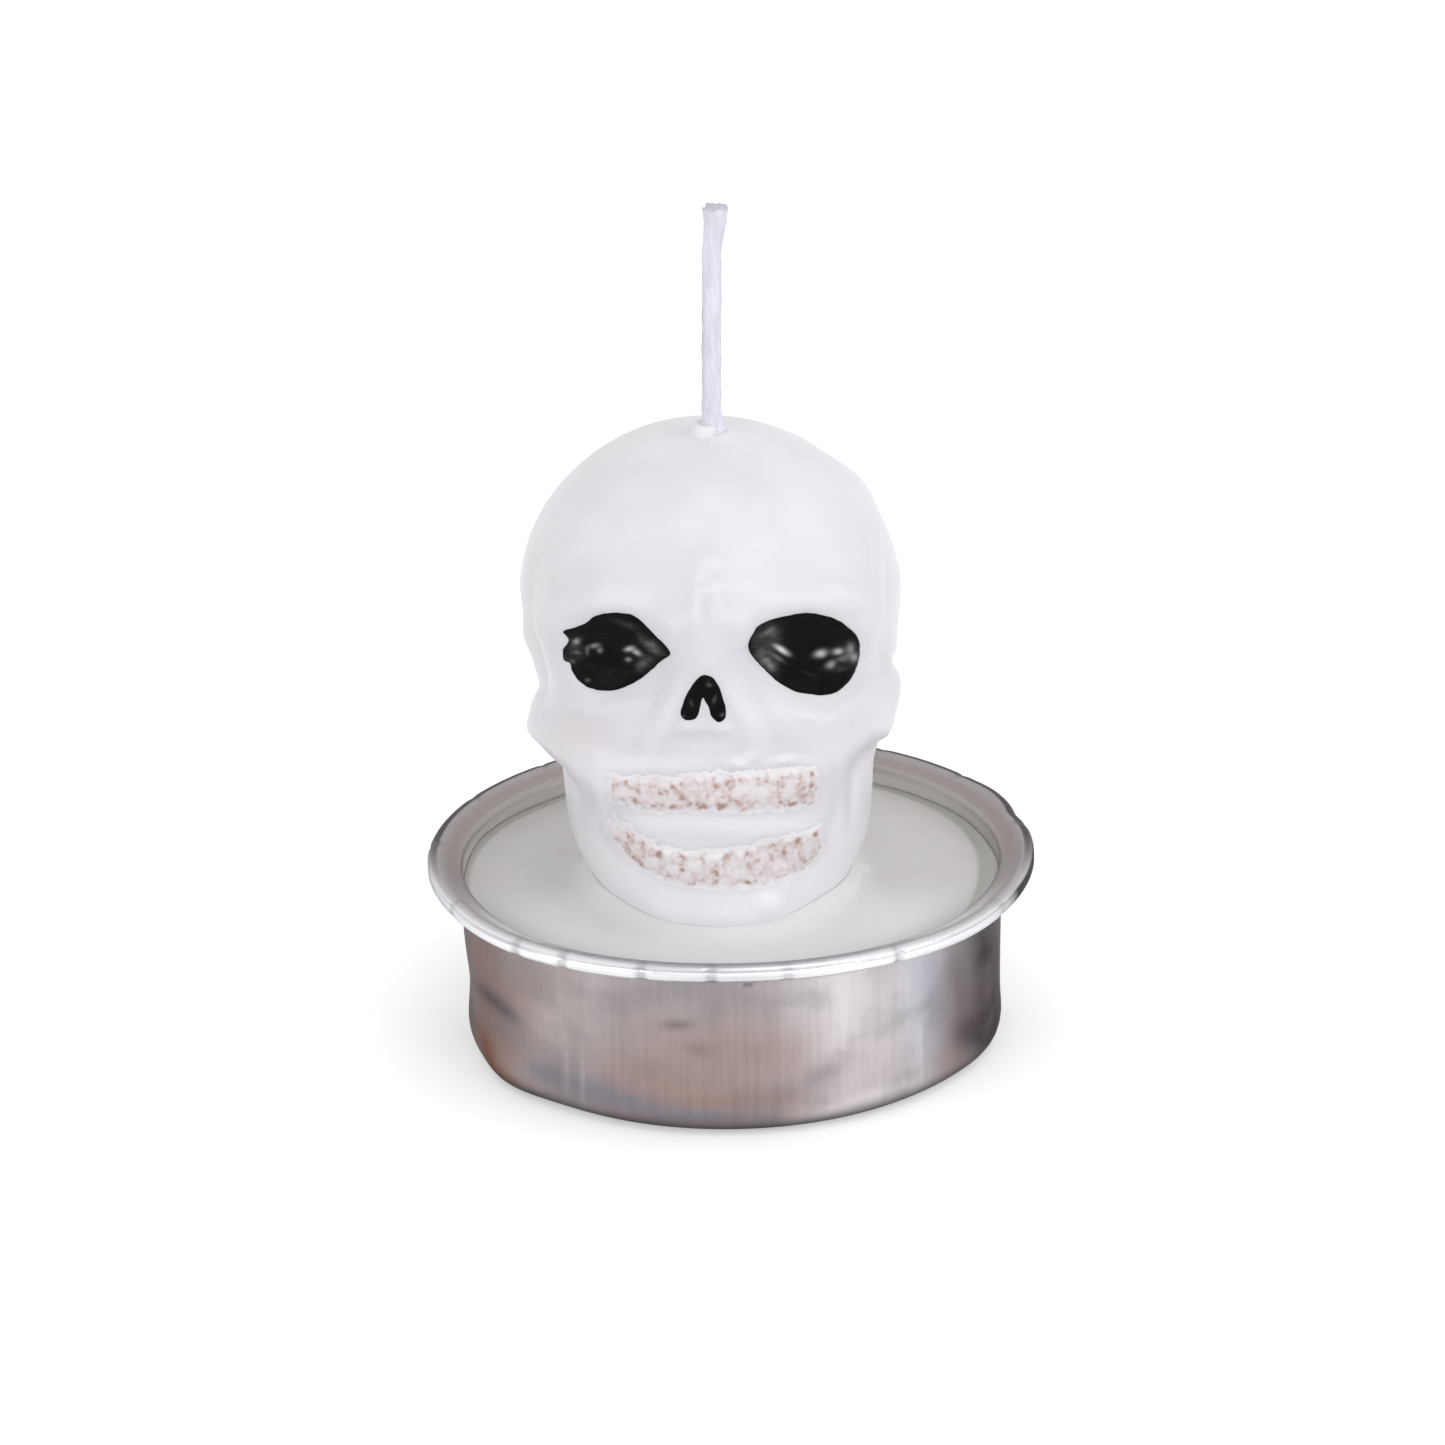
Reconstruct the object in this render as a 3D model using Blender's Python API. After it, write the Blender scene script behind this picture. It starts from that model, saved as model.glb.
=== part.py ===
"""A skull candle that stands in a tealight cup.

A drawn aluminium cup with a flared lip and a curled bead holds a disc of poured wax. A moulded
wax skull is set into that disc. One wick runs from a crimped steel sustainer on the cup's
floor, through the disc and the skull, and out of the crown. The eye sockets and the nose are
filled with black enamel, and the two rows of teeth are brushed with brown.

Units are metres, +Z is up, the face looks along -Y, and the origin is the centre of the
cup's underside.
"""

import math

import bmesh
import bpy
import numpy as np
from mathutils import Vector

# Cup, drawn from thin sheet
CUP_RADIUS = 0.0186
CUP_HEIGHT = 0.0134
CUP_SHEET = 0.00022
CUP_FLOOR_CORNER = 0.0017
CUP_WALL_TAPER = 0.00018
CUP_FLAT_RADIUS = 0.0100
LIP_REACH = 0.0013
LIP_RISE = 0.00045
LIP_BEND = 0.0005
BEAD_RADIUS = 0.00058
BEAD_SWEEP_DEG = 265.0
CUP_SEGMENTS = 44
DENT_ANGLE_DEG = 20.0
DENT_WIDTH_DEG = 7.0
DENT_PUSH = 0.0006
BULGE_ANGLE_DEG = 0.0
BULGE_WIDTH_DEG = 10.0
BULGE_PUSH = 0.0003
CORNER_CRUSH_ANGLE_DEG = 205.0
CORNER_CRUSH_WIDTH_DEG = 32.0
CORNER_CRUSH = 0.00012
CORNER_CRUSH_HEIGHT = 0.0045

# Room left between pieces that meet
SEAT_GAP = 0.0003

# Wick, which leans a little from the middle of the cup's floor
WICK_RADIUS = 0.00064
WICK_STRANDS = 3
WICK_STRAND_DEPTH = 0.00007
WICK_TWIST_PITCH = 0.0065
WICK_STATIONS = 34
WICK_SIDES = 10
WICK_ABOVE_SKULL = 0.0159
WICK_TIP_SIDEWAYS = 0.0009
WICK_TIP_FLARE = 0.00026
WICK_TIP_FLARE_LENGTH = 0.0016
WICK_TIP_CLOSE = 0.55
WICK_LEAN_DEG = 0.9

# Sustainer, a steel disc with a neck crimped on the wick
SUSTAINER_RADIUS = 0.0064
SUSTAINER_SHEET = 0.00025
SUSTAINER_NECK_HEIGHT = 0.0032
SUSTAINER_NECK_WALL = 0.0003
SUSTAINER_NECK_FILLET = 0.0005
SUSTAINER_SEGMENTS = 24

# Poured wax disc
WAX_LEVEL = 0.0111
WAX_CREEP_UP_WALL = 0.00035
WAX_CREEP_WIDTH = 0.0009
WAX_CREEP_MIDDLE = 0.0001
WAX_CREEP_MIDDLE_SHARE = 0.35
WAX_COLLAR_WIDTH = 0.0012

# Skull, in its own frame: z counts up from its foot, and x = 0 is its plane of symmetry
FOOT_DEPTH_IN_WAX = 0.0006
SKULL_LEAN_DEG = 1.23
SKULL_FOOT_X = -0.00059
CRANIUM_CENTRE = (0.0, 0.0013, 0.0204)
CRANIUM_RADII = (0.01302, 0.0146, 0.01228)
FOREHEAD_CENTRE = (0.0, -0.0038, 0.0216)
FOREHEAD_RADII = (0.0104, 0.0098, 0.0088)
UPPER_FACE_CENTRE = (0.0, -0.0046, 0.0150)
UPPER_FACE_RADII = (0.0098, 0.0080, 0.0072)
TOOTH_ARCH_CENTRE = (0.0, -0.0028, 0.0098)
TOOTH_ARCH_RADII = (0.00958, 0.0096, 0.0064)
JAW_CENTRE = (0.0, -0.00063, 0.00525)
JAW_RADII = (0.00974, 0.00939, 0.00856)
CHIN_CENTRE = (0.0, -0.00697, 0.00274)
CHIN_RADII = (0.0044, 0.0036, 0.0036)
NAPE_CENTRE = (0.0, 0.0030, 0.0070)
NAPE_RADII = (0.0081, 0.0070, 0.0110)
CHEEKBONE_FRONT = (0.0062, -0.0098, 0.0138)
CHEEKBONE_SIDE = (0.01023, -0.0036, 0.01437)
CHEEKBONE_RADIUS = 0.0018
CHEEK_ARCH_BACK = (0.01082, 0.0030, 0.01374)
CHEEK_ARCH_RADIUS = 0.0014
CHEEK_DROP_LEFT = 0.0012
CHEEK_DROP_RIGHT = -0.0004
JAW_CORNER = (0.0083, 0.0012, 0.0044)
JAW_HINGE = (0.01006, 0.0026, 0.0132)
JAW_BRANCH_RADIUS = 0.0014
BROW_INNER = (0.0022, -0.0120, 0.0242)
BROW_TOP = (0.0060, -0.0103, 0.0250)
BROW_OUTER = (0.0098, -0.0070, 0.0236)
BROW_RADIUS = 0.0009
NOSE_BRIDGE_TOP = (0.0, -0.0124, 0.0250)
NOSE_BRIDGE_TIP = (0.0, -0.0124, 0.0198)
NOSE_BRIDGE_RADIUS = 0.0012
TEMPLE_HOLLOW_CENTRE = (0.0143, -0.0052, 0.0183)
TEMPLE_HOLLOW_RADII = (0.0026, 0.0050, 0.0034)
CHEEK_HOLLOW_CENTRE = (0.0122, -0.0068, 0.0098)
CHEEK_HOLLOW_RADII = (0.0026, 0.0050, 0.0036)
ORBIT_CENTRE = (0.0064, -0.0150, 0.0214)
ORBIT_RADII = (0.0046, 0.0032, 0.0034)
MASS_BLEND = 0.0038
BONE_BLEND = 0.0024
HOLLOW_BLEND = 0.0030
HUB_HEIGHT = 0.0225
DOME_RINGS = 8
DOME_TOP_DEG = 84.0
CROWN_COLLAR_RADIUS = 0.0013
CROWN_COLLAR_RISE = 0.0005
CROWN_COLLAR_LIP = 0.0001
CROWN_COLLAR_OUTER_SHARE = 0.3
CROWN_COLLAR_INNER_SHARE = 0.6
SHARP_EDGE_DEG = 38.0

# Teeth, counted by heading round the wick's axis from the middle of the face
UPPER_TEETH = 8
LOWER_TEETH = 10
TOOTH_PITCH_DEG = 7.9
STEPS_PER_TOOTH = 3
LIFT_ANGLE_DEG = 34.0
LIFT_FADE_START_DEG = 60.0
LIFT_FADE_END_DEG = 120.0
TOOTH_RELIEF = 0.00028
TOOTH_ROUNDNESS = 0.7
TOOTH_EDGE_FALL = 0.55
UPPER_TEETH_HEIGHT = 0.0121
UPPER_TEETH_HALF = 0.00128
UPPER_TEETH_LIFT = -0.0006
LOWER_TEETH_HEIGHT = 0.0058
LOWER_TEETH_HALF = 0.0014
LOWER_TEETH_LIFT = 0.0013
STAIN_THICKNESS = 0.00025
STAIN_ROWS = 3
SIDE_STEPS = 7
BACK_STEPS = 8
SIDE_END_DEG = 110.0
SIDE_WIDENING = 1.3
RING_SPACING = 0.0011

# Eye sockets and nose opening, drawn in the face plane
EYE_X = 0.0062
EYE_Z = 0.0214
EYE_TILT_DEG = 13.0
EYE_HALF_WIDTH = 0.0036
EYE_HALF_HEIGHT = 0.0026
EYE_INNER_POINT = 0.6
EYE_STEPS = 22
SOCKET_DEPTH = 0.0015
SOCKET_EDGE_DEPTH = 0.00055
SOCKET_SHARES = (0.35, 0.75, 1.0)
ENAMEL_THICKNESS = 0.0003
NOSE_X = -0.00035
NOSE_FOOT_Z = 0.0174
NOSE_HEIGHT = 0.0033
NOSE_HALF_WIDTH = 0.0015
NOSE_NOTCH_HEIGHT = 0.0017
NOSE_NOTCH_HALF_WIDTH = 0.0004
NOSE_STEPS = 12
NOSE_DEPTH = 0.0007
NOSE_ARCH_FULLNESS = 0.8

# Search along a ray for the skull's surface
RAY_REACH = 0.024
RAY_SAMPLES = 60
RAY_HALVINGS = 16


def clear_scene():
    """Removes whatever the scene starts with."""
    for obj in list(bpy.data.objects):
        bpy.data.objects.remove(obj, do_unlink=True)


def material(name, colour, roughness, metallic=0.0, subsurface=0.0):
    """A Principled material with one colour."""
    made = bpy.data.materials.new(name)
    made.use_nodes = True
    shader = made.node_tree.nodes["Principled BSDF"]
    shader.inputs["Base Color"].default_value = (*colour, 1.0)
    shader.inputs["Roughness"].default_value = roughness
    shader.inputs["Metallic"].default_value = metallic
    shader.inputs["Subsurface Weight"].default_value = subsurface
    made.diffuse_color = (*colour, 1.0)
    return made


def place(name, bm, finish):
    """Turns a bmesh into a smooth-shaded object with one material."""
    bmesh.ops.recalc_face_normals(bm, faces=bm.faces)
    mesh = bpy.data.meshes.new(name)
    bm.to_mesh(mesh)
    bm.free()
    mesh.materials.append(finish)
    mesh.shade_smooth()
    mesh.set_sharp_from_angle(angle=math.radians(38))
    obj = bpy.data.objects.new(name, mesh)
    bpy.context.scene.collection.objects.link(obj)
    return obj


def loft(rings, closed=False):
    """Skins a list of equal rings of points. An open loft is capped at both ends."""
    bm = bmesh.new()
    loops = [[bm.verts.new(point) for point in ring] for ring in rings]
    pairs = list(zip(loops, loops[1:]))
    if closed:
        pairs.append((loops[-1], loops[0]))
    for low, high in pairs:
        for i in range(len(low)):
            j = (i + 1) % len(low)
            bm.faces.new((low[i], low[j], high[j], high[i]))
    if not closed:
        bm.faces.new(list(reversed(loops[0])))
        bm.faces.new(loops[-1])
    return bm


def arc(centre, radius, start_deg, end_deg, steps):
    """Points along an arc in the (radius, height) plane."""
    angles = np.radians(np.linspace(start_deg, end_deg, steps + 1))
    return [(centre[0] + radius * math.cos(a), centre[1] + radius * math.sin(a)) for a in angles]


def bump(distance, width):
    """A smooth hump that is 1 at distance 0 and fades over the width."""
    return math.exp(-((distance / width) ** 2))


def turn_between(angle_deg, other_deg):
    """The angle from one heading to another, between -180 and 180 degrees."""
    return (angle_deg - other_deg + 180.0) % 360.0 - 180.0


def wick_x(z):
    """Where the leaning wick stands at a height above the cup's underside."""
    return -z * math.tan(math.radians(WICK_LEAN_DEG))


def foot_z():
    """Height of the skull's foot, which is sunk a little into the poured wax."""
    return WAX_LEVEL - FOOT_DEPTH_IN_WAX


def seat_height():
    """Height of the pieces that stand on the cup's inner floor."""
    return CUP_SHEET + SEAT_GAP


# Cup

def cup_centreline():
    """The middle of the sheet from the cup's centre out to the end of the curled bead."""
    half = CUP_SHEET / 2
    lip_foot = CUP_HEIGHT - LIP_RISE - LIP_BEND - BEAD_RADIUS / 2
    slope = math.degrees(math.atan2(LIP_RISE, LIP_REACH))
    line = [(0.0, half), (CUP_FLAT_RADIUS, half)]
    base_radius = CUP_RADIUS - CUP_WALL_TAPER - half
    corner = (base_radius - CUP_FLOOR_CORNER, CUP_FLOOR_CORNER + half)
    line += arc(corner, CUP_FLOOR_CORNER, -90, 0, 3)
    wall_top = (CUP_RADIUS - half, lip_foot)
    line.append((0.5 * (base_radius + wall_top[0]), 0.5 * (corner[1] + lip_foot)))
    bend = (wall_top[0] + LIP_BEND, lip_foot)
    line += arc(bend, LIP_BEND, 180, 90 + slope, 2)
    bead_radius = BEAD_RADIUS - half
    run_end = (line[-1][0] + LIP_REACH, line[-1][1] + LIP_RISE)
    normal = (math.sin(math.radians(slope)), -math.cos(math.radians(slope)))
    bead = (run_end[0] + normal[0] * bead_radius, run_end[1] + normal[1] * bead_radius)
    line += arc(bead, bead_radius, 90 + slope, 90 + slope - BEAD_SWEEP_DEG, 6)
    return line


def sheet_outline(line):
    """Gives the centre line its thickness: the outer side, then back along the inner side."""
    sides = ([], [])
    for i, (r, z) in enumerate(line):
        before = line[max(i - 1, 0)]
        after = line[min(i + 1, len(line) - 1)]
        along = Vector((after[0] - before[0], after[1] - before[1])).normalized()
        for side, sign in zip(sides, (1.0, -1.0)):
            radius = 0.0 if r == 0.0 else r + sign * along.y * CUP_SHEET / 2
            side.append((radius, z - sign * along.x * CUP_SHEET / 2))
    return sides[0] + sides[1][::-1]


def dent_cup(bm):
    """Pushes in the bead at the right and the floor's corner at the left, as the sheet is."""
    top = CUP_HEIGHT - 3 * BEAD_RADIUS
    for vert in bm.verts:
        radius = math.hypot(vert.co.x, vert.co.y)
        if radius <= CUP_FLAT_RADIUS + CUP_SHEET:
            continue
        heading = math.degrees(math.atan2(vert.co.y, vert.co.x))
        at_lip = min(1.0, max(0.0, (vert.co.z - top) / BEAD_RADIUS))
        push = DENT_PUSH * at_lip * bump(turn_between(heading, DENT_ANGLE_DEG), DENT_WIDTH_DEG)
        push -= BULGE_PUSH * at_lip * bump(turn_between(heading, BULGE_ANGLE_DEG), BULGE_WIDTH_DEG)
        low = bump(vert.co.z, CORNER_CRUSH_HEIGHT) * (radius - CUP_FLAT_RADIUS) / (
            CUP_RADIUS - CUP_FLAT_RADIUS
        )
        across = turn_between(heading, CORNER_CRUSH_ANGLE_DEG)
        push += CORNER_CRUSH * low * bump(across, CORNER_CRUSH_WIDTH_DEG)
        vert.co.x *= 1 - push / radius
        vert.co.y *= 1 - push / radius


def build_cup(finish):
    """The tealight cup: its sheet profile spun round the axis."""
    bm = bmesh.new()
    outline = sheet_outline(cup_centreline())
    verts = [bm.verts.new((r, 0.0, z)) for r, z in outline]
    edges = [bm.edges.new(pair) for pair in zip(verts, verts[1:])]
    bmesh.ops.spin(
        bm,
        geom=verts + edges,
        cent=(0.0, 0.0, 0.0),
        axis=(0.0, 0.0, 1.0),
        angle=2 * math.pi,
        steps=CUP_SEGMENTS,
        use_merge=True,
        use_duplicate=False,
    )
    bmesh.ops.remove_doubles(bm, verts=bm.verts, dist=1e-6)
    dent_cup(bm)
    return place("tealight_cup", bm, finish)


# Skull surface as a blend of named masses

def ellipsoid(points, centre, radii):
    """About the distance from points to an ellipsoid, negative inside."""
    offset = points - np.array(centre)
    radii = np.array(radii)
    k0 = np.linalg.norm(offset / radii, axis=-1)
    k1 = np.linalg.norm(offset / radii**2, axis=-1) + 1e-9
    return k0 * (k0 - 1.0) / k1


def rod(points, start, end, radius):
    """The distance from points to a round-ended rod."""
    start = np.array(start)
    along = np.array(end) - start
    offset = points - start
    share = np.clip(offset @ along / (along @ along), 0.0, 1.0)
    return np.linalg.norm(offset - share[..., None] * along, axis=-1) - radius


def blend(a, b, width):
    """The union of two distances with a fillet of the given width."""
    overlap = np.clip(width - np.abs(a - b), 0.0, None) / width
    return np.minimum(a, b) - overlap**2 * width / 4


def carve(a, b, width):
    """Takes b out of a with a softened edge."""
    return -blend(-a, b, width)


def skull_field(points):
    """About the distance from points to the skull's surface, without teeth or sockets."""
    p = np.array(points, dtype=float)
    drop = np.where(p[..., 0] < 0.0, CHEEK_DROP_LEFT, CHEEK_DROP_RIGHT)
    p[..., 0] = np.abs(p[..., 0])
    cheek = p + np.stack([0 * drop, 0 * drop, drop], axis=-1)
    shape = ellipsoid(p, CRANIUM_CENTRE, CRANIUM_RADII)
    masses = (
        (FOREHEAD_CENTRE, FOREHEAD_RADII),
        (UPPER_FACE_CENTRE, UPPER_FACE_RADII),
        (TOOTH_ARCH_CENTRE, TOOTH_ARCH_RADII),
        (JAW_CENTRE, JAW_RADII),
        (NAPE_CENTRE, NAPE_RADII),
        (CHIN_CENTRE, CHIN_RADII),
    )
    for centre, radii in masses:
        shape = blend(shape, ellipsoid(p, centre, radii), MASS_BLEND)
    for centre, radii in (
        (TEMPLE_HOLLOW_CENTRE, TEMPLE_HOLLOW_RADII),
        (CHEEK_HOLLOW_CENTRE, CHEEK_HOLLOW_RADII),
        (ORBIT_CENTRE, ORBIT_RADII),
    ):
        shape = carve(shape, ellipsoid(p, centre, radii), HOLLOW_BLEND)
    bones = (
        (cheek, CHEEKBONE_FRONT, CHEEKBONE_SIDE, CHEEKBONE_RADIUS),
        (cheek, CHEEKBONE_SIDE, CHEEK_ARCH_BACK, CHEEK_ARCH_RADIUS),
        (p, JAW_CORNER, JAW_HINGE, JAW_BRANCH_RADIUS),
        (p, BROW_INNER, BROW_TOP, BROW_RADIUS),
        (p, BROW_TOP, BROW_OUTER, BROW_RADIUS),
        (p, NOSE_BRIDGE_TOP, NOSE_BRIDGE_TIP, NOSE_BRIDGE_RADIUS),
    )
    for at, start, end, radius in bones:
        shape = blend(shape, rod(at, start, end, radius), BONE_BLEND)
    return shape


def cast(origins, directions, outwards):
    """Distances along rays to the skull's surface, from inside outwards or from outside inwards."""
    steps = np.linspace(0.0, RAY_REACH, RAY_SAMPLES)
    points = origins[..., None, :] + directions[..., None, :] * steps[:, None]
    inside = skull_field(points) < 0.0
    if outwards:
        low = RAY_SAMPLES - 1 - np.argmax(inside[..., ::-1], axis=-1)
        high = np.minimum(low + 1, RAY_SAMPLES - 1)
    else:
        low = np.argmax(inside, axis=-1)
        high = np.maximum(low - 1, 0)
    near = steps[low]
    far = steps[high]
    for _ in range(RAY_HALVINGS):
        middle = 0.5 * (near + far)
        hit = skull_field(origins + directions * middle[..., None]) < 0.0
        near = np.where(hit, middle, near)
        far = np.where(hit, far, middle)
    return near


def face_depth(x, z):
    """The y of the skull's front at points of the face plane."""
    x = np.asarray(x, dtype=float)
    z = np.asarray(z, dtype=float)
    origins = np.stack([x, np.full_like(x, -RAY_REACH), z], axis=-1)
    directions = np.broadcast_to(np.array([0.0, 1.0, 0.0]), origins.shape)
    return -RAY_REACH + cast(origins, directions, outwards=False)


# Teeth

def teeth_in_row(row):
    """How many teeth a row has: row 0 is the lower one and row 1 the upper one."""
    return (LOWER_TEETH, UPPER_TEETH)[row]


def row_half_angle(row):
    """Half the angle that a row of teeth spans."""
    return math.radians(teeth_in_row(row) * TOOTH_PITCH_DEG / 2)


def column_headings():
    """Headings of the skull's columns, from the middle of the face, close together at the teeth."""
    most = max(LOWER_TEETH, UPPER_TEETH)
    half = most * TOOTH_PITCH_DEG / 2
    front = np.linspace(-half, half, most * STEPS_PER_TOOTH + 1)
    shares = (np.arange(1, SIDE_STEPS + 1) / SIDE_STEPS) ** SIDE_WIDENING
    side = half + (SIDE_END_DEG - half) * shares
    back = np.linspace(SIDE_END_DEG, 360.0 - SIDE_END_DEG, BACK_STEPS + 1)[1:-1]
    return np.radians(np.concatenate([front, side, back, 360.0 - side[::-1]]))


def from_middle(heading):
    """The angle between a heading and the middle of the face."""
    return np.abs((heading + math.pi) % (2 * math.pi) - math.pi)


def row_lift(heading, lift):
    """How far a level rises away from the middle of the face."""
    share = from_middle(heading) / math.radians(LIFT_ANGLE_DEG)
    end = math.radians(LIFT_FADE_END_DEG)
    start = math.radians(LIFT_FADE_START_DEG)
    fade = np.clip((end - from_middle(heading)) / (end - start), 0.0, 1.0)
    return lift * np.minimum(share, 1.0) ** 2 * fade


def tooth_relief(heading, row, across):
    """Relief of one row: round-faced teeth parted by grooves. Across runs from -1 to 1."""
    share = (heading / math.radians(TOOTH_PITCH_DEG) + teeth_in_row(row) / 2) % 1.0
    crown = np.abs(np.sin(math.pi * share)) ** TOOTH_ROUNDNESS
    relief = TOOTH_RELIEF * crown * (1.0 - TOOTH_EDGE_FALL * np.abs(across) ** 3)
    return np.where(stained(heading, row), relief, 0.0)


def skull_levels():
    """Heights of the level rings, the rise of each, and the row of teeth that it crosses."""
    edge = SEAT_GAP
    rows = (
        (LOWER_TEETH_HEIGHT, LOWER_TEETH_HALF, LOWER_TEETH_LIFT),
        (UPPER_TEETH_HEIGHT, UPPER_TEETH_HALF, UPPER_TEETH_LIFT),
    )
    levels = [(0.0, 0.0, None, 0.0), (FOOT_DEPTH_IN_WAX, 0.0, None, 0.0)]
    for row, (height, half, lift) in enumerate(rows):
        z, rise = levels[-1][:2]
        count = max(1, round((height - half - edge - z) / RING_SPACING))
        for i in range(1, count + 1):
            share = i / count
            start = z + (height - half - edge - z) * share
            levels.append((start, rise + (lift - rise) * share, None, 0.0))
        for i in range(STAIN_ROWS + 1):
            across = -1.0 + 2.0 * i / STAIN_ROWS
            levels.append((height + half * across, lift, row, across))
        levels.append((height + half + edge, lift, None, 0.0))
    z, rise = levels[-1][:2]
    count = max(1, round((HUB_HEIGHT - z) / RING_SPACING))
    for i in range(1, count + 1):
        share = i / count
        levels.append((z + (HUB_HEIGHT - z) * share, rise * (1 - share), None, 0.0))
    return levels


def stained(heading, row):
    """Whether a heading lies under the stain of a row of teeth."""
    if row is None:
        return np.zeros_like(heading, dtype=bool)
    return from_middle(heading) <= row_half_angle(row) * 1.001


def level_ring(level, headings):
    """One level ring of the bare skull and how far the tooth relief stands out on it."""
    z, lift, row, across = level
    height = z + row_lift(headings, lift)
    origins = np.stack([0 * height, 0 * height, height], axis=-1)
    directions = np.stack([np.sin(headings), -np.cos(headings), 0 * headings], axis=-1)
    radius = cast(origins, directions, outwards=True)
    relief = tooth_relief(headings, row, across) if row is not None else 0.0 * headings
    return origins, directions, radius, relief


def lean(points):
    """Moves skull points to their place on the wax, each level set over by the lean."""
    points = np.array(points, dtype=float)
    points[..., 0] += SKULL_FOOT_X - points[..., 2] * math.tan(math.radians(SKULL_LEAN_DEG))
    points[..., 2] += foot_z()
    return points


def bore_radius():
    """The wick's hole in the skull and in the wax."""
    return WICK_RADIUS + WICK_STRAND_DEPTH + SEAT_GAP


def skull_outer_rings():
    """The skull's outside, from its foot up to the rim of the wick's hole."""
    headings = column_headings()
    rings = []
    for level in skull_levels():
        origins, directions, radius, relief = level_ring(level, headings)
        sunk = np.where(stained(headings, level[2]), SEAT_GAP + STAIN_THICKNESS, 0.0)
        rings.append(origins + directions * (radius + relief - sunk)[:, None])
    hub = np.array([0.0, 0.0, HUB_HEIGHT])
    for i in range(1, DOME_RINGS + 1):
        rise = math.radians(DOME_TOP_DEG) * i / DOME_RINGS
        directions = np.stack(
            [
                np.sin(headings) * math.cos(rise),
                -np.cos(headings) * math.cos(rise),
                np.full_like(headings, math.sin(rise)),
            ],
            axis=-1,
        )
        origins = np.broadcast_to(hub, directions.shape)
        rings.append(origins + directions * cast(origins, directions, outwards=True)[:, None])
    return rings


def crown_height():
    """Height of the skull's top on the wick's axis."""
    hub = np.array([[0.0, 0.0, HUB_HEIGHT]])
    up = np.array([[0.0, 0.0, 1.0]])
    return HUB_HEIGHT + float(cast(hub, up, outwards=True)[0])


def flat_ring(radius, z):
    """A level circle with as many points as the skull has columns."""
    headings = column_headings()
    return np.stack(
        [radius * np.sin(headings), -radius * np.cos(headings), np.full_like(headings, z)],
        axis=-1,
    )


def wick_ring(radius, z):
    """A level circle round the wick."""
    ring = flat_ring(radius, z)
    ring[:, 0] += wick_x(z)
    return ring


def eye_outline(side, grow):
    """An eye's outline in the face plane: round outside, pointed towards the nose."""
    angles = np.linspace(0.0, 2 * math.pi, EYE_STEPS, endpoint=False)
    taper = 1.0 - EYE_INNER_POINT * np.clip(-np.cos(angles), 0.0, 1.0) ** 2
    along = (EYE_HALF_WIDTH + grow) * np.cos(angles)
    across = (EYE_HALF_HEIGHT * taper + grow) * np.sin(angles)
    tilt = math.radians(EYE_TILT_DEG)
    x = along * math.cos(tilt) + across * math.sin(tilt)
    z = across * math.cos(tilt) - along * math.sin(tilt)
    return side * x, z


def eye_floor(side, grow, share, lift):
    """A ring of the socket's floor, raised by the lift. Share runs from 0 inside to 1 at the edge."""
    x, z = eye_outline(side, grow)
    x = side * EYE_X + x * share
    z = EYE_Z + z * share
    depth = SOCKET_EDGE_DEPTH + (SOCKET_DEPTH - SOCKET_EDGE_DEPTH) * (1.0 - share**2)
    return np.stack([x, face_depth(x, z) + depth - lift, z], axis=-1)


def eye_cutter(side):
    """The body that is cut out of the skull for one eye."""
    x, z = eye_outline(side, SEAT_GAP)
    front = np.stack(
        [side * EYE_X + x, np.full_like(x, -RAY_REACH), EYE_Z + z],
        axis=-1,
    )
    rings = [front] + [eye_floor(side, SEAT_GAP, s, 0.0) for s in reversed(SOCKET_SHARES)]
    return [lean(ring) for ring in rings]


def eye_enamel_rings(side):
    """The coat that lines one socket: its back, then its front."""
    back = [eye_floor(side, 0.0, s, SEAT_GAP) for s in SOCKET_SHARES]
    lift = SEAT_GAP + ENAMEL_THICKNESS
    front = [eye_floor(side, 0.0, s, lift) for s in reversed(SOCKET_SHARES)]
    return [lean(ring) for ring in back + front]


def nose_sections(grow, depth, lift):
    """Sections of the nose opening, from the foot of one leg over the top to the other."""
    turns = np.linspace(-1.0, 1.0, NOSE_STEPS + 1) * math.pi / 2
    sections = []
    for turn in turns:
        outer = (
            (NOSE_HALF_WIDTH + grow) * math.sin(turn),
            NOSE_FOOT_Z - grow + (NOSE_HEIGHT + 2 * grow) * math.cos(turn) ** NOSE_ARCH_FULLNESS,
        )
        inner = (
            (NOSE_NOTCH_HALF_WIDTH - grow) * math.sin(turn),
            NOSE_FOOT_Z - grow + NOSE_NOTCH_HEIGHT * math.cos(turn) ** NOSE_ARCH_FULLNESS,
        )
        x = NOSE_X + np.array([inner[0], outer[0], outer[0], inner[0]])
        z = np.array([inner[1], outer[1], outer[1], inner[1]])
        surface = face_depth(x, z)
        y = surface + NOSE_DEPTH - lift
        y[:2] -= depth
        sections.append(lean(np.stack([x, y, z], axis=-1)))
    return sections


def cut(target, rings):
    """Cuts the body that the rings skin out of the target."""
    bm = loft(rings)
    bmesh.ops.recalc_face_normals(bm, faces=bm.faces)
    mesh = bpy.data.meshes.new("cutter")
    bm.to_mesh(mesh)
    bm.free()
    cutter = bpy.data.objects.new("cutter", mesh)
    bpy.context.scene.collection.objects.link(cutter)
    cutter.hide_render = True
    cutter.display_type = "WIRE"
    tool = target.modifiers.new("cut", "BOOLEAN")
    tool.operation = "DIFFERENCE"
    tool.solver = "EXACT"
    tool.object = cutter
    bpy.context.view_layer.objects.active = target
    bpy.ops.object.modifier_apply(modifier=tool.name)
    bpy.data.objects.remove(cutter, do_unlink=True)


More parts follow.
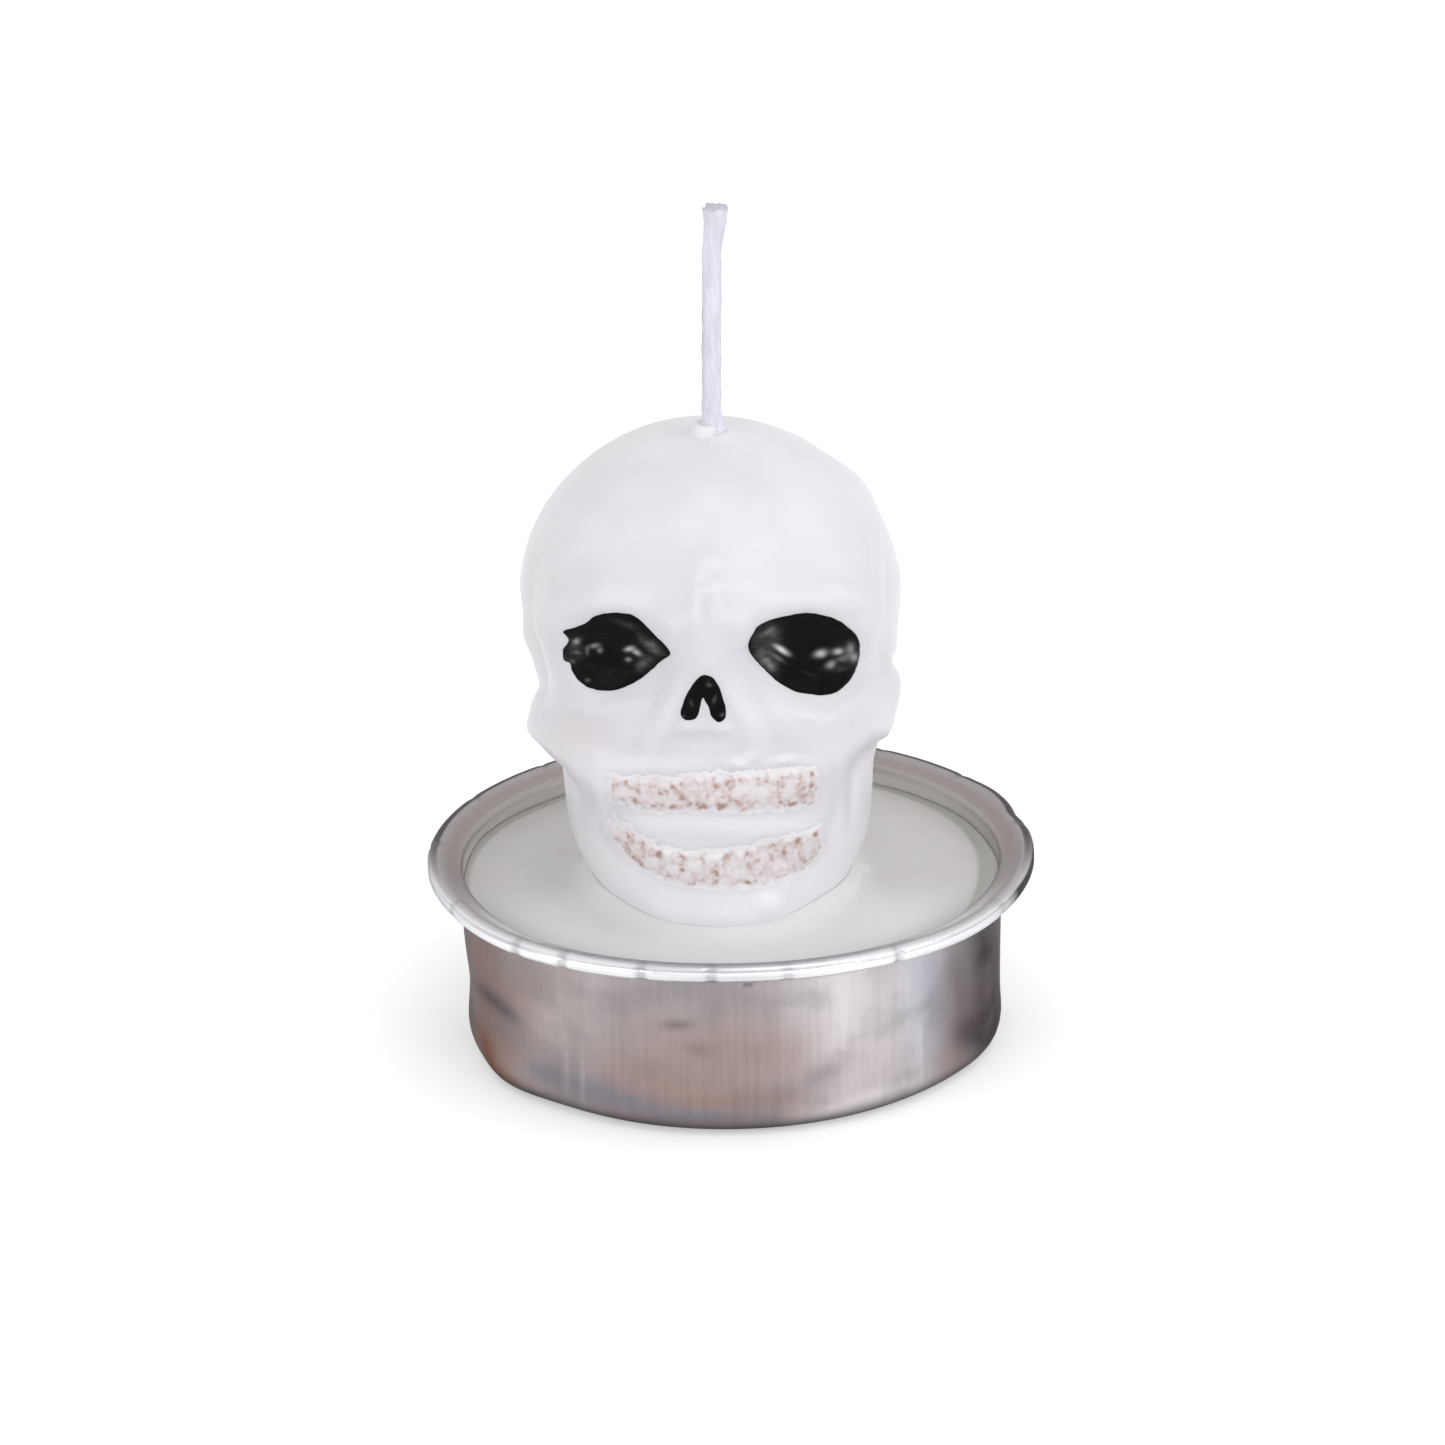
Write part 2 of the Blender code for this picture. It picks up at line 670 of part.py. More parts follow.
def build_skull(finish):
    """The moulded skull, bored for the wick and hollowed at the eyes and nose."""
    top = foot_z() + crown_height()
    rings = [lean(ring) for ring in skull_outer_rings()]
    rings += [
        wick_ring(CROWN_COLLAR_RADIUS, top + CROWN_COLLAR_OUTER_SHARE * CROWN_COLLAR_RISE),
        wick_ring(bore_radius() + CROWN_COLLAR_LIP, top + CROWN_COLLAR_RISE),
        wick_ring(bore_radius(), top + CROWN_COLLAR_INNER_SHARE * CROWN_COLLAR_RISE),
        wick_ring(bore_radius(), foot_z()),
    ]
    skull = place("skull", loft(rings, closed=True), finish)
    for side in (-1, 1):
        cut(skull, eye_cutter(side))
    cut(skull, nose_sections(SEAT_GAP, RAY_REACH, 0.0))
    skull.data.shade_smooth()
    skull.data.set_sharp_from_angle(angle=math.radians(SHARP_EDGE_DEG))
    return skull


def build_enamel(finish):
    """The black coats in the sockets and in the nose."""
    for name, side in (("eye_enamel_left", -1), ("eye_enamel_right", 1)):
        place(name, loft(eye_enamel_rings(side)), finish)
    place("nose_enamel", loft(nose_sections(0.0, ENAMEL_THICKNESS, SEAT_GAP)), finish)


def build_stain(name, row, finish):
    """The brown coat on one row of teeth."""
    headings = column_headings()
    chosen = headings[stained(headings, row)]
    levels = [level for level in skull_levels() if level[2] == row]
    outer = []
    inner = []
    for level in levels:
        origins, directions, radius, relief = level_ring(level, chosen)
        outer.append(lean(origins + directions * (radius + relief)[:, None]))
        inner.append(lean(origins + directions * (radius + relief - STAIN_THICKNESS)[:, None]))
    sections = []
    for i in range(len(chosen)):
        column = [ring[i] for ring in outer] + [ring[i] for ring in reversed(inner)]
        sections.append(column)
    place(name, loft(sections), finish)


# Wax, sustainer and wick

def wax_outer_radius(z):
    """The wax's radius at a height, a gap inside the cup's wall."""
    share = min(1.0, max(0.0, (z - CUP_FLOOR_CORNER) / (CUP_HEIGHT - CUP_FLOOR_CORNER)))
    inner = CUP_RADIUS - CUP_SHEET - CUP_WALL_TAPER * (1.0 - share)
    return inner - SEAT_GAP


def build_wax(finish):
    """The poured disc: bored for the wick, hollow over the sustainer, with a seat for the skull."""
    headings = column_headings()
    low = seat_height()
    over_plate = low + SUSTAINER_SHEET + SEAT_GAP
    over_neck = low + SUSTAINER_NECK_HEIGHT + SEAT_GAP
    neck = neck_outer_radius() + SEAT_GAP
    plate = SUSTAINER_RADIUS + SEAT_GAP
    foot = level_ring((0.0, 0.0, None, 0.0), headings)
    edge = level_ring((FOOT_DEPTH_IN_WAX, 0.0, None, 0.0), headings)

    def around_skull(ring, grow, z):
        points = lean(ring[1] * (ring[2] + grow)[:, None])
        points[:, 2] = z
        return points

    corner = CUP_FLOOR_CORNER
    base = wax_outer_radius(0.0)
    edge_radius = wax_outer_radius(WAX_LEVEL)
    arc_centre = (base - corner, low + corner)
    rings = [
        wick_ring(neck, over_neck),
        wick_ring(neck, over_plate),
        wick_ring(plate, over_plate),
        wick_ring(plate, low),
    ]
    rings += [flat_ring(r, z) for r, z in arc(arc_centre, corner, -90, 0, 3)]
    rings += [
        flat_ring(edge_radius, WAX_LEVEL + WAX_CREEP_UP_WALL),
        flat_ring(edge_radius - WAX_CREEP_MIDDLE_SHARE * WAX_CREEP_WIDTH, WAX_LEVEL + WAX_CREEP_MIDDLE),
        flat_ring(edge_radius - WAX_CREEP_WIDTH, WAX_LEVEL),
        around_skull(edge, SEAT_GAP + WAX_COLLAR_WIDTH, WAX_LEVEL),
        around_skull(edge, SEAT_GAP, WAX_LEVEL),
        around_skull(foot, SEAT_GAP, foot_z() - SEAT_GAP),
        wick_ring(bore_radius(), foot_z() - SEAT_GAP),
        wick_ring(bore_radius(), over_neck),
    ]
    return place("wax_fill", loft(rings, closed=True), finish)


def neck_inner_radius():
    """The sustainer's neck is crimped on the wick, with the seat gap left between them."""
    return bore_radius()


def neck_outer_radius():
    """Outside of the sustainer's neck."""
    return neck_inner_radius() + SUSTAINER_NECK_WALL


def build_sustainer(finish):
    """The sustainer: a pressed disc whose centre is drawn up into a neck."""
    bottom = seat_height()
    top = bottom + SUSTAINER_SHEET
    inner = neck_inner_radius()
    outer = neck_outer_radius()
    flare = SUSTAINER_NECK_FILLET
    profile = [
        (inner + flare, bottom),
        (SUSTAINER_RADIUS, bottom),
        (SUSTAINER_RADIUS, top),
        (outer + flare, top),
        (outer, top + flare),
        (outer, bottom + SUSTAINER_NECK_HEIGHT),
        (inner, bottom + SUSTAINER_NECK_HEIGHT),
        (inner, bottom + flare),
    ]
    rings = []
    for i in range(SUSTAINER_SEGMENTS):
        heading = 2 * math.pi * i / SUSTAINER_SEGMENTS
        ring = [(wick_x(z) + r * math.cos(heading), r * math.sin(heading), z) for r, z in profile]
        rings.append(ring)
    return place("wick_sustainer", loft(rings, closed=True), finish)


def build_wick(finish):
    """The wick: three strands laid round each other, with a softly flared tip."""
    bottom = seat_height()
    top = foot_z() + crown_height() + WICK_ABOVE_SKULL
    rings = []
    for i in range(WICK_STATIONS):
        z = bottom + (top - bottom) * i / (WICK_STATIONS - 1)
        above = max(0.0, z - foot_z() - crown_height()) / WICK_ABOVE_SKULL
        flare = WICK_TIP_FLARE * bump(top - z, WICK_TIP_FLARE_LENGTH) if above > 0 else 0.0
        close = WICK_TIP_CLOSE if i == WICK_STATIONS - 1 else 1.0
        twist = 2 * math.pi * z / WICK_TWIST_PITCH
        ring = []
        for k in range(WICK_SIDES):
            angle = 2 * math.pi * k / WICK_SIDES
            strand = WICK_STRAND_DEPTH * math.cos(WICK_STRANDS * (angle + twist))
            radius = (WICK_RADIUS + strand + flare) * close
            bend = WICK_TIP_SIDEWAYS * above**2
            ring.append((wick_x(z) + bend + radius * math.cos(angle), radius * math.sin(angle), z))
        rings.append(ring)
    return place("wick", loft(rings), finish)


# Materials

def aluminium():
    """Bright drawn aluminium with a slight warm cast."""
    return material("aluminium", (0.72, 0.70, 0.70), 0.28, metallic=1.0)


def steel():
    """Tinned steel of the sustainer."""
    return material("tinned_steel", (0.55, 0.55, 0.56), 0.35, metallic=1.0)


def fill_wax():
    """The greyish, half-clear wax in the cup."""
    return material("fill_wax", (0.60, 0.60, 0.58), 0.32, subsurface=0.2)


def skull_wax():
    """White wax with a faint lilac cast."""
    return material("skull_wax", (0.78, 0.76, 0.80), 0.34, subsurface=0.2)


def cotton():
    """White waxed cotton."""
    return material("waxed_cotton", (0.80, 0.79, 0.84), 0.6)


def enamel():
    """Glossy black."""
    return material("black_enamel", (0.006, 0.006, 0.006), 0.12)


def brown_stain():
    """Thin pinkish brown, brushed on."""
    return material("brown_stain", (0.46, 0.33, 0.30), 0.5)


def main():
    """Builds every piece of the candle."""
    clear_scene()
    build_cup(aluminium())
    build_sustainer(steel())
    build_wax(fill_wax())
    build_skull(skull_wax())
    build_enamel(enamel())
    stain = brown_stain()
    build_stain("lower_teeth_stain", 0, stain)
    build_stain("upper_teeth_stain", 1, stain)
    build_wick(cotton())


main()
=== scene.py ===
"""Looks of a skull candle in a tealight cup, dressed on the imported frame.

The skull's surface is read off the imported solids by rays, smoothed into soft wax and given its
fine relief. The paint lies on that surface as thin coats. The cup, the poured wax and the wick
are turned or lofted again at a finer grain on the sizes that the frame gives. Lengths are in
metres. A place taken from the photograph is a pixel of its 1445 x 1445 frame.
"""

import logging
import math
from dataclasses import dataclass, field
from enum import Enum

import bpy
import numpy as np
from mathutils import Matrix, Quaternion, Vector, noise
from mathutils.bvhtree import BVHTree


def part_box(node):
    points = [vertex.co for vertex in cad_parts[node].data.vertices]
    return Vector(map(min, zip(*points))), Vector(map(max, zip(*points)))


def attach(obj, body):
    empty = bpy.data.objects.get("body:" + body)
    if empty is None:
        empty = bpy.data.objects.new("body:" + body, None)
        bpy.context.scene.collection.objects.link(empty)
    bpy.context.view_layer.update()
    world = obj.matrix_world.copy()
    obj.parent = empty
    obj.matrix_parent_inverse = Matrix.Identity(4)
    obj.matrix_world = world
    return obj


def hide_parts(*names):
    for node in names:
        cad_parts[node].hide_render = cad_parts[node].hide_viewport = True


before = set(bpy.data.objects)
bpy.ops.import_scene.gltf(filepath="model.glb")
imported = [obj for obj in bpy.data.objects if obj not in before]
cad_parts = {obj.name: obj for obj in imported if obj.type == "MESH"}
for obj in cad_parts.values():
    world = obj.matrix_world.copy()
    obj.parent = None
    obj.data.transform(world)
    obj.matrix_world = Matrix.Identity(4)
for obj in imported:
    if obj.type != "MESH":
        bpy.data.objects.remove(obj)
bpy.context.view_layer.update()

LOG = logging.getLogger("skull_candle")
MM = 0.001
BODY = "root"


class Node(str, Enum):
    """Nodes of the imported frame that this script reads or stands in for."""

    CUP = "tealight_cup"
    SUSTAINER = "wick_sustainer"
    FILL = "wax_fill"
    SKULL = "skull"
    EYE_LEFT = "eye_enamel_left"
    EYE_RIGHT = "eye_enamel_right"
    NOSE = "nose_enamel"
    UPPER_TEETH = "upper_teeth_stain"
    LOWER_TEETH = "lower_teeth_stain"
    WICK = "wick"


@dataclass(frozen=True)
class PhotoCamera:
    """The camera that the photograph's outlines were fitted with.

    Args:
        place: where the camera stands.
        aim: the direction through the middle of the picture.
        roll_deg: how far the picture is turned.
        lens_mm: focal length on a sensor 36 mm wide.
        size_px: width and height of the picture.
    """

    place: Vector
    aim: Vector
    roll_deg: float
    lens_mm: float
    size_px: int = 1445
    sensor_mm: float = 36.0

    def turn(self) -> Quaternion:
        """Returns the camera's rotation."""
        level = self.aim.to_track_quat("-Z", "Y")
        return level @ Quaternion((0.0, 0.0, 1.0), -math.radians(self.roll_deg))

    def project(self, points: np.ndarray) -> np.ndarray:
        """Maps points of the scene to pixels of the photograph.

        Args:
            points: an array whose last axis holds x, y and z.

        Returns:
            An array of the same shape, less the depth.
        """
        axes = np.array(self.turn().to_matrix())
        local = (points - np.array(self.place)) @ axes
        scale = self.lens_mm / self.sensor_mm * self.size_px / -local[..., 2]
        half = self.size_px / 2
        return np.stack([half + local[..., 0] * scale, half - local[..., 1] * scale], axis=-1)

    def build(self) -> None:
        """Adds the camera and makes it the scene's own."""
        data = bpy.data.cameras.new("photo_camera")
        data.lens = self.lens_mm
        data.sensor_width = self.sensor_mm
        data.clip_start = 0.01
        camera = bpy.data.objects.new("photo_camera", data)
        bpy.context.scene.collection.objects.link(camera)
        camera.location = self.place
        camera.rotation_mode = "QUATERNION"
        camera.rotation_quaternion = self.turn()
        bpy.context.scene.camera = camera


CAMERA_AZIMUTH_DEG = 1.5


def swung(x: float, y: float, z: float) -> Vector:
    """Turns a vector of the fitted frame by the camera's azimuth."""
    return Quaternion((0.0, 0.0, 1.0), math.radians(CAMERA_AZIMUTH_DEG)) @ Vector((x, y, z))


CAMERA = PhotoCamera(
    place=swung(0.0, -0.37030, 0.17127),
    aim=swung(-0.00098, 0.92783, -0.37299),
    roll_deg=1.12,
    lens_mm=146.09,
)


# Making meshes

def sheet(name: str, rows: np.ndarray, masks: dict[str, np.ndarray]) -> bpy.types.Object:
    """Lays a grid mesh over rows of points and stores maps of numbers on it.

    Args:
        name: name of the new piece.
        rows: an array of rows by columns by xyz.
        masks: maps of rows by columns to store on the mesh by name.

    Returns:
        The new object, active and selected.
    """
    count, across = rows.shape[:2]
    bpy.ops.object.select_all(action="DESELECT")
    bpy.ops.mesh.primitive_grid_add(x_subdivisions=across - 1, y_subdivisions=count - 1, size=1.0)
    piece = bpy.context.object
    piece.name = piece.data.name = name
    piece.data.vertices.foreach_set("co", rows.reshape(-1).astype(np.float32))
    for label, values in masks.items():
        layer = piece.data.attributes.new(label, "FLOAT", "POINT")
        layer.data.foreach_set("value", values.reshape(-1).astype(np.float32))
    return piece


def loft(name: str, rows: np.ndarray, masks: dict[str, np.ndarray]) -> bpy.types.Object:
    """Skins rows of points with a grid whose ends are merged where they meet.

    Args:
        name: name of the new piece.
        rows: an array of rows by columns by xyz. The columns run once round.
        masks: maps of rows by columns to store on the mesh by name.

    Returns:
        The new object, smooth shaded, with its faces pointing out.
    """
    def wrapped(values: np.ndarray) -> np.ndarray:
        """Sets the first column again after the last."""
        return np.concatenate([values, values[:, :1]], axis=1)

    around = {label: wrapped(values) for label, values in masks.items()}
    piece = sheet(name, wrapped(rows), around)
    bpy.ops.object.mode_set(mode="EDIT")
    bpy.ops.mesh.select_all(action="SELECT")
    bpy.ops.mesh.remove_doubles(threshold=1e-6)
    bpy.ops.mesh.normals_make_consistent(inside=False)
    bpy.ops.object.mode_set(mode="OBJECT")
    bpy.ops.object.shade_smooth()
    return piece


def dress(piece: bpy.types.Object, material: bpy.types.Material, slot: str, *nodes: Node) -> None:
    """Gives a piece its material and its place on the frame, and hides the imported nodes that it
    stands for.
    """
    piece.data.materials.clear()
    piece.data.materials.append(material)
    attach(piece, BODY)
    if nodes:
        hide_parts(*[node.value for node in nodes])
    LOG.info("%s: %d faces, stands for %s", piece.name, len(piece.data.polygons), nodes or "none")


def smoothstep(value: np.ndarray, low: float, high: float) -> np.ndarray:
    """A soft step from 0 at low to 1 at high."""
    share = np.clip((value - low) / (high - low), 0.0, 1.0)
    return share * share * (3.0 - 2.0 * share)


def slide(values: np.ndarray, reach: int, axis: int, wrap: bool, pick) -> np.ndarray:
    """Applies pick over a sliding window, for instance to find a running highest value."""
    mode = "wrap" if wrap else "edge"
    pad = [(0, 0)] * values.ndim
    pad[axis] = (reach, reach)
    padded = np.pad(values, pad, mode=mode)
    length = values.shape[axis]
    shifted = [np.take(padded, range(i, i + length), axis=axis) for i in range(2 * reach + 1)]
    return pick(shifted)


def blur(values: np.ndarray, sigma: float, rounds: int = 1) -> np.ndarray:
    """Softens a map of rows by wrapped columns."""
    reach = max(1, math.ceil(2.5 * sigma))
    weights = np.exp(-0.5 * (np.arange(-reach, reach + 1) / sigma) ** 2)
    weights /= weights.sum()

    def average(shifted):
        return sum(w * part for w, part in zip(weights, shifted))

    for _ in range(rounds):
        values = slide(values, reach, 0, False, average)
        values = slide(values, reach, 1, True, average)
    return values


def close_gaps(values: np.ndarray, reach: int) -> np.ndarray:
    """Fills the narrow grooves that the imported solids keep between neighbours."""

    def highest(shifted):
        return np.maximum.reduce(shifted)

    def lowest(shifted):
        return np.minimum.reduce(shifted)

    for pick in (highest, lowest):
        values = slide(values, reach, 0, False, pick)
        values = slide(values, reach, 1, True, pick)
    return values


def hill(value: np.ndarray, middle: float, half: float) -> np.ndarray:
    """A soft hill, 1 at its middle."""
    return np.exp(-(((value - middle) / half) ** 2))


def rough(points: np.ndarray, scale: float, seed: float) -> np.ndarray:
    """Smooth noise between about -1 and 1 at each point."""
    flat = points.reshape(-1, 3) * scale + seed
    return np.array([noise.noise(Vector(p)) for p in flat]).reshape(points.shape[:-1])


# Skull

@dataclass(frozen=True)
class SkullGrid:
    """How the skull's surface is sampled round its own leaning axis.

    Args:
        foot_x: where the axis meets the skull's foot.
        lean_deg: how far the axis leans.
        foot_z: height of the foot.
        hub_above_foot: height from which the dome's rays fan out.
        front_deg: half the angle of the finely sampled face.
        front_columns: columns in the face.
        back_columns: columns in the rest.
        rise: spacing of the level rows.
        dome_top_deg: where the dome's rows end, short of the wick.
        dome_rows: rows in the dome.
    """

    foot_x: float = -0.00059
    lean_deg: float = 1.23
    foot_z: float = 0.0105
    hub_above_foot: float = 0.0225
    front_deg: float = 66.0
    front_columns: int = 210
    back_columns: int = 90
    rise: float = 0.000145
    dome_top_deg: float = 83.0
    dome_rows: int = 110

    def headings(self) -> np.ndarray:
        """Returns the columns' headings, measured from the middle of the face."""
        edge = self.front_deg
        front = np.linspace(-edge, edge, self.front_columns, endpoint=False)
        back = np.linspace(edge, 360.0 - edge, self.back_columns, endpoint=False)
        return np.radians(np.concatenate([front, back]))

    def axis_x(self, z: np.ndarray) -> np.ndarray:
        """Returns where the axis stands at a height."""
        return self.foot_x - (z - self.foot_z) * math.tan(math.radians(self.lean_deg))

    def rays(self) -> tuple[np.ndarray, np.ndarray]:
        """Returns the origins on the axis and the outward directions, row by row."""
        around = self.headings()
        level = np.stack([np.sin(around), -np.cos(around), 0 * around], axis=-1)
        heights = np.arange(self.foot_z, self.foot_z + self.hub_above_foot, self.rise)
        origins = []
        directions = []
        for z in heights:
            origins.append(np.broadcast_to([self.axis_x(z), 0.0, z], level.shape))
            directions.append(level)
        hub_z = self.foot_z + self.hub_above_foot
        for i in range(self.dome_rows + 1):
            rise = math.radians(self.dome_top_deg) * i / self.dome_rows
            origins.append(np.broadcast_to([self.axis_x(hub_z), 0.0, hub_z], level.shape))
            directions.append(level * math.cos(rise) + np.array([0.0, 0.0, math.sin(rise)]))
        return np.array(origins), np.array(directions)


@dataclass
class SkullSurface:
    """The wax surface of the skull as a grid of points.

    Args:
        grid: how it was sampled.
        points: rows by columns by xyz.
        normals: outward unit vectors at the points.
        pixels: where each point falls in the photograph.
    """

    grid: SkullGrid
    points: np.ndarray
    normals: np.ndarray = field(default_factory=lambda: np.zeros(0))
    pixels: np.ndarray = field(default_factory=lambda: np.zeros(0))

    def refresh(self) -> None:
        """Works out the normals and the pixels again after the points have moved."""
        down = np.gradient(self.points, axis=0)
        across = np.roll(self.points, -1, axis=1) - np.roll(self.points, 1, axis=1)
        normals = np.cross(across, down)
        self.normals = normals / (np.linalg.norm(normals, axis=-1, keepdims=True) + 1e-12)
        self.pixels = CAMERA.project(self.points)

    def push(self, height: np.ndarray) -> None:
        """Moves the surface along its normals."""
        self.points = self.points + self.normals * height[..., None]
        self.refresh()


RAY_REACH = 0.03
COAT_SHEET = 0.18 * MM


def read_solids(grid: SkullGrid) -> tuple[np.ndarray, np.ndarray, np.ndarray]:
    """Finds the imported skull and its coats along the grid's rays.

    Returns:
        The origins, the directions and the distances to the surface.
    """
    corners = []
    faces = []
    coats = (Node.EYE_LEFT, Node.EYE_RIGHT, Node.NOSE, Node.UPPER_TEETH, Node.LOWER_TEETH)
    for node in (Node.SKULL, *coats):
        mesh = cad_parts[node.value].data
        start = len(corners)
        corners += [v.co.copy() for v in mesh.vertices]
        faces += [[start + i for i in face.vertices] for face in mesh.polygons]
    tree = BVHTree.FromPolygons(corners, faces)
    origins, directions = grid.rays()
    distances = np.zeros(directions.shape[:2])
    for at in np.ndindex(distances.shape):
        out = Vector(directions[at])
        outside = Vector(origins[at]) + out * RAY_REACH
        distances[at] = RAY_REACH - tree.ray_cast(outside, -out)[3]
    return origins, directions, distances


@dataclass(frozen=True)
class Swell:
    """A soft rise or hollow on the face, placed where the photograph shows it.

    Args:
        x: middle of the rise, in pixels of the photograph.
        y: the same, downwards.
        half_x: reach to the sides, in pixels, before the turn.
        half_y: reach up and down, in pixels, before the turn.
        height_mm: how far the middle is pushed out, or in when it is below zero.
        turn_deg: how far the rise is turned, anticlockwise in the picture.
    """

    x: float
    y: float
    half_x: float
    half_y: float
    height_mm: float
    turn_deg: float = 0.0

    def share(self, pixels: np.ndarray) -> np.ndarray:
        """Returns the rise's form at the pixels, 1 at its middle."""
        turn = math.radians(self.turn_deg)
        dx = pixels[..., 0] - self.x
        dy = pixels[..., 1] - self.y
        along = (dx * math.cos(turn) - dy * math.sin(turn)) / self.half_x
        across = (dx * math.sin(turn) + dy * math.cos(turn)) / self.half_y
        return np.exp(-(along**2 + across**2))


def swelling(swells: tuple[Swell, ...], pixels: np.ndarray) -> np.ndarray:
    """Returns how far the swells push the surface out at the pixels, in metres."""
    return sum((item.height_mm * MM * item.share(pixels) for item in swells), 0 * pixels[..., 0])


def rows_of(kind: type, *rows: tuple[float, ...]) -> tuple:
    """Makes one object of a kind from each row of its numbers."""
    return tuple(kind(*row) for row in rows)


SIDE_SWELLS = rows_of(
    Swell,
    (862, 476, 28, 34, 0.38), (893, 661, 14, 9, -0.55), (885, 734, 15, 18, 0.55),
    (526, 636, 14, 18, 0.38), (535, 684, 13, 13, -0.38), (529, 729, 14, 13, 0.4),
)
FACE_SWELLS = rows_of(
    Swell,
    (706, 562, 12, 7, 0.26), (700, 576, 9, 6, 0.2, -25), (709, 588, 11, 4, 0.22, 10),
    (695, 606, 6, 24, 0.15, -4), (717, 616, 7, 26, 0.12, 4), (606, 598, 50, 9, 0.16, 8),
    (810, 597, 50, 9, 0.18, -6), (845, 593, 14, 6, 0.2, -20), (672, 628, 12, 18, 0.18, -35),
    (742, 628, 12, 18, 0.18, 35), (558, 626, 9, 16, 0.18, 0), (869, 630, 9, 18, 0.18, 0),
    (584, 708, 26, 9, 0.22, -14), (620, 706, 22, 8, 0.16, 16), (806, 717, 26, 8, 0.16, -14),
    (852, 708, 22, 9, 0.2, 36), (560, 690, 9, 22, 0.14, 12), (592, 738, 36, 12, -0.1, -12),
    (812, 718, 8, 4, 0.12, -30), (829, 719, 8, 4, 0.12, 30), (664, 716, 9, 34, 0.26, -24),
    (748, 712, 9, 34, 0.26, 24), (640, 748, 30, 13, -0.1, 14), (792, 748, 30, 13, -0.08, -14),
    (688, 727, 8, 6, 0.16), (722, 729, 8, 6, 0.16), (704, 737, 26, 7, -0.12),
    (738, 763, 9, 5, 0.34, -10), (750, 757, 7, 5, 0.24, 30), (785, 760, 14, 4, 0.2, 6),
    (660, 766, 40, 7, 0.16), (712, 828, 96, 12, 0.26, -2), (770, 905, 15, 13, 0.55, 20),
    (786, 882, 10, 13, 0.4, 10), (662, 912, 16, 7, 0.16, -20), (735, 920, 60, 10, 0.16),
    (604, 812, 7, 46, 0.18, 8), (841, 806, 6, 42, 0.18, -3), (856, 790, 5, 50, 0.14, -4),
    (877, 572, 6, 60, 0.22, 0), (543, 612, 6, 60, 0.2, 0),
)


@dataclass(frozen=True)
class ToothRow:
    """One band of teeth across the mouth.

    Args:
        edges_x: where the teeth meet, in pixels.
        top: heights of the band's upper edge, in pixels, at evenly spaced places across it.
        bottom: the same for its lower edge.
        relief_mm: how far a tooth's middle stands above its edges.
        brown: how much of the stain the whole band carries.
    """

    edges_x: tuple[float, ...]
    top: tuple[float, ...]
    bottom: tuple[float, ...]
    relief_mm: float
    brown: float

    def span(self, pixels: np.ndarray) -> tuple[np.ndarray, np.ndarray, np.ndarray]:
        """Returns the band's upper edge, lower edge and height share at the pixels."""
        x = pixels[..., 0]
        places = np.linspace(self.edges_x[0], self.edges_x[-1], len(self.top))
        top = np.interp(x, places, self.top)
        bottom = np.interp(x, places, self.bottom)
        return top, bottom, (pixels[..., 1] - top) / (bottom - top)

    def tooth_share(self, pixels: np.ndarray) -> np.ndarray:
        """Returns where a pixel lies in its tooth, -1 at its left edge and 1 at its right."""
        edges = np.array(self.edges_x)
        x = np.clip(pixels[..., 0], edges[0], edges[-1] - 0.001)
        index = np.clip(np.searchsorted(edges, x, side="right") - 1, 0, len(edges) - 2)
        return 2.0 * (x - edges[index]) / (edges[index + 1] - edges[index]) - 1.0

    def distance(self, pixels: np.ndarray) -> np.ndarray:
        """Returns how far inside the band a pixel lies, in pixels."""
        top, bottom, _ = self.span(pixels)
        y = pixels[..., 1]
        x = pixels[..., 0]
        sides = np.minimum(x - self.edges_x[0], self.edges_x[-1] - x)
        return np.minimum(np.minimum(y - top, bottom - y), sides)

    def crowns(self, pixels: np.ndarray) -> np.ndarray:
        """Returns the teeth's rounded relief, 0 to 1."""
        _, _, share = self.span(pixels)
        across = np.abs(self.tooth_share(pixels))
        rounded = 1.0 - across**4
        height = 1.0 - np.clip(np.abs(2.0 * share - 1.0), 0.0, 1.0) ** 4
        inside = smoothstep(self.distance(pixels), -3.0, 3.0)
        return rounded * height * inside

    def groove(self, pixels: np.ndarray) -> np.ndarray:
        """Returns 1 in the grooves between and under the teeth, 0 elsewhere."""
        _, _, share = self.span(pixels)
        across = np.abs(self.tooth_share(pixels))
        upright = smoothstep(across, 0.55, 0.95)
        lower = smoothstep(share, 0.62, 0.9)
        inside = smoothstep(self.distance(pixels), -2.0, 2.0)
        return np.maximum(upright, lower) * inside


UPPER_ROW = ToothRow(
    edges_x=(611, 637, 659, 683, 704, 728, 757, 780, 804, 816),
    top=(775, 778, 779, 777, 774, 774, 773, 770, 770),
    bottom=(801, 809, 812, 811, 810, 811, 810, 808, 804),
    relief_mm=0.11,
    brown=0.42,
)
LOWER_ROW = ToothRow(
    edges_x=(612, 628, 643, 661, 681, 703, 725, 748, 772, 795, 821),
    top=(818, 834, 849, 853, 853, 849, 841, 836, 826),
    bottom=(838, 866, 880, 886, 888, 888, 884, 876, 858),
    relief_mm=0.11,
    brown=0.26,
)


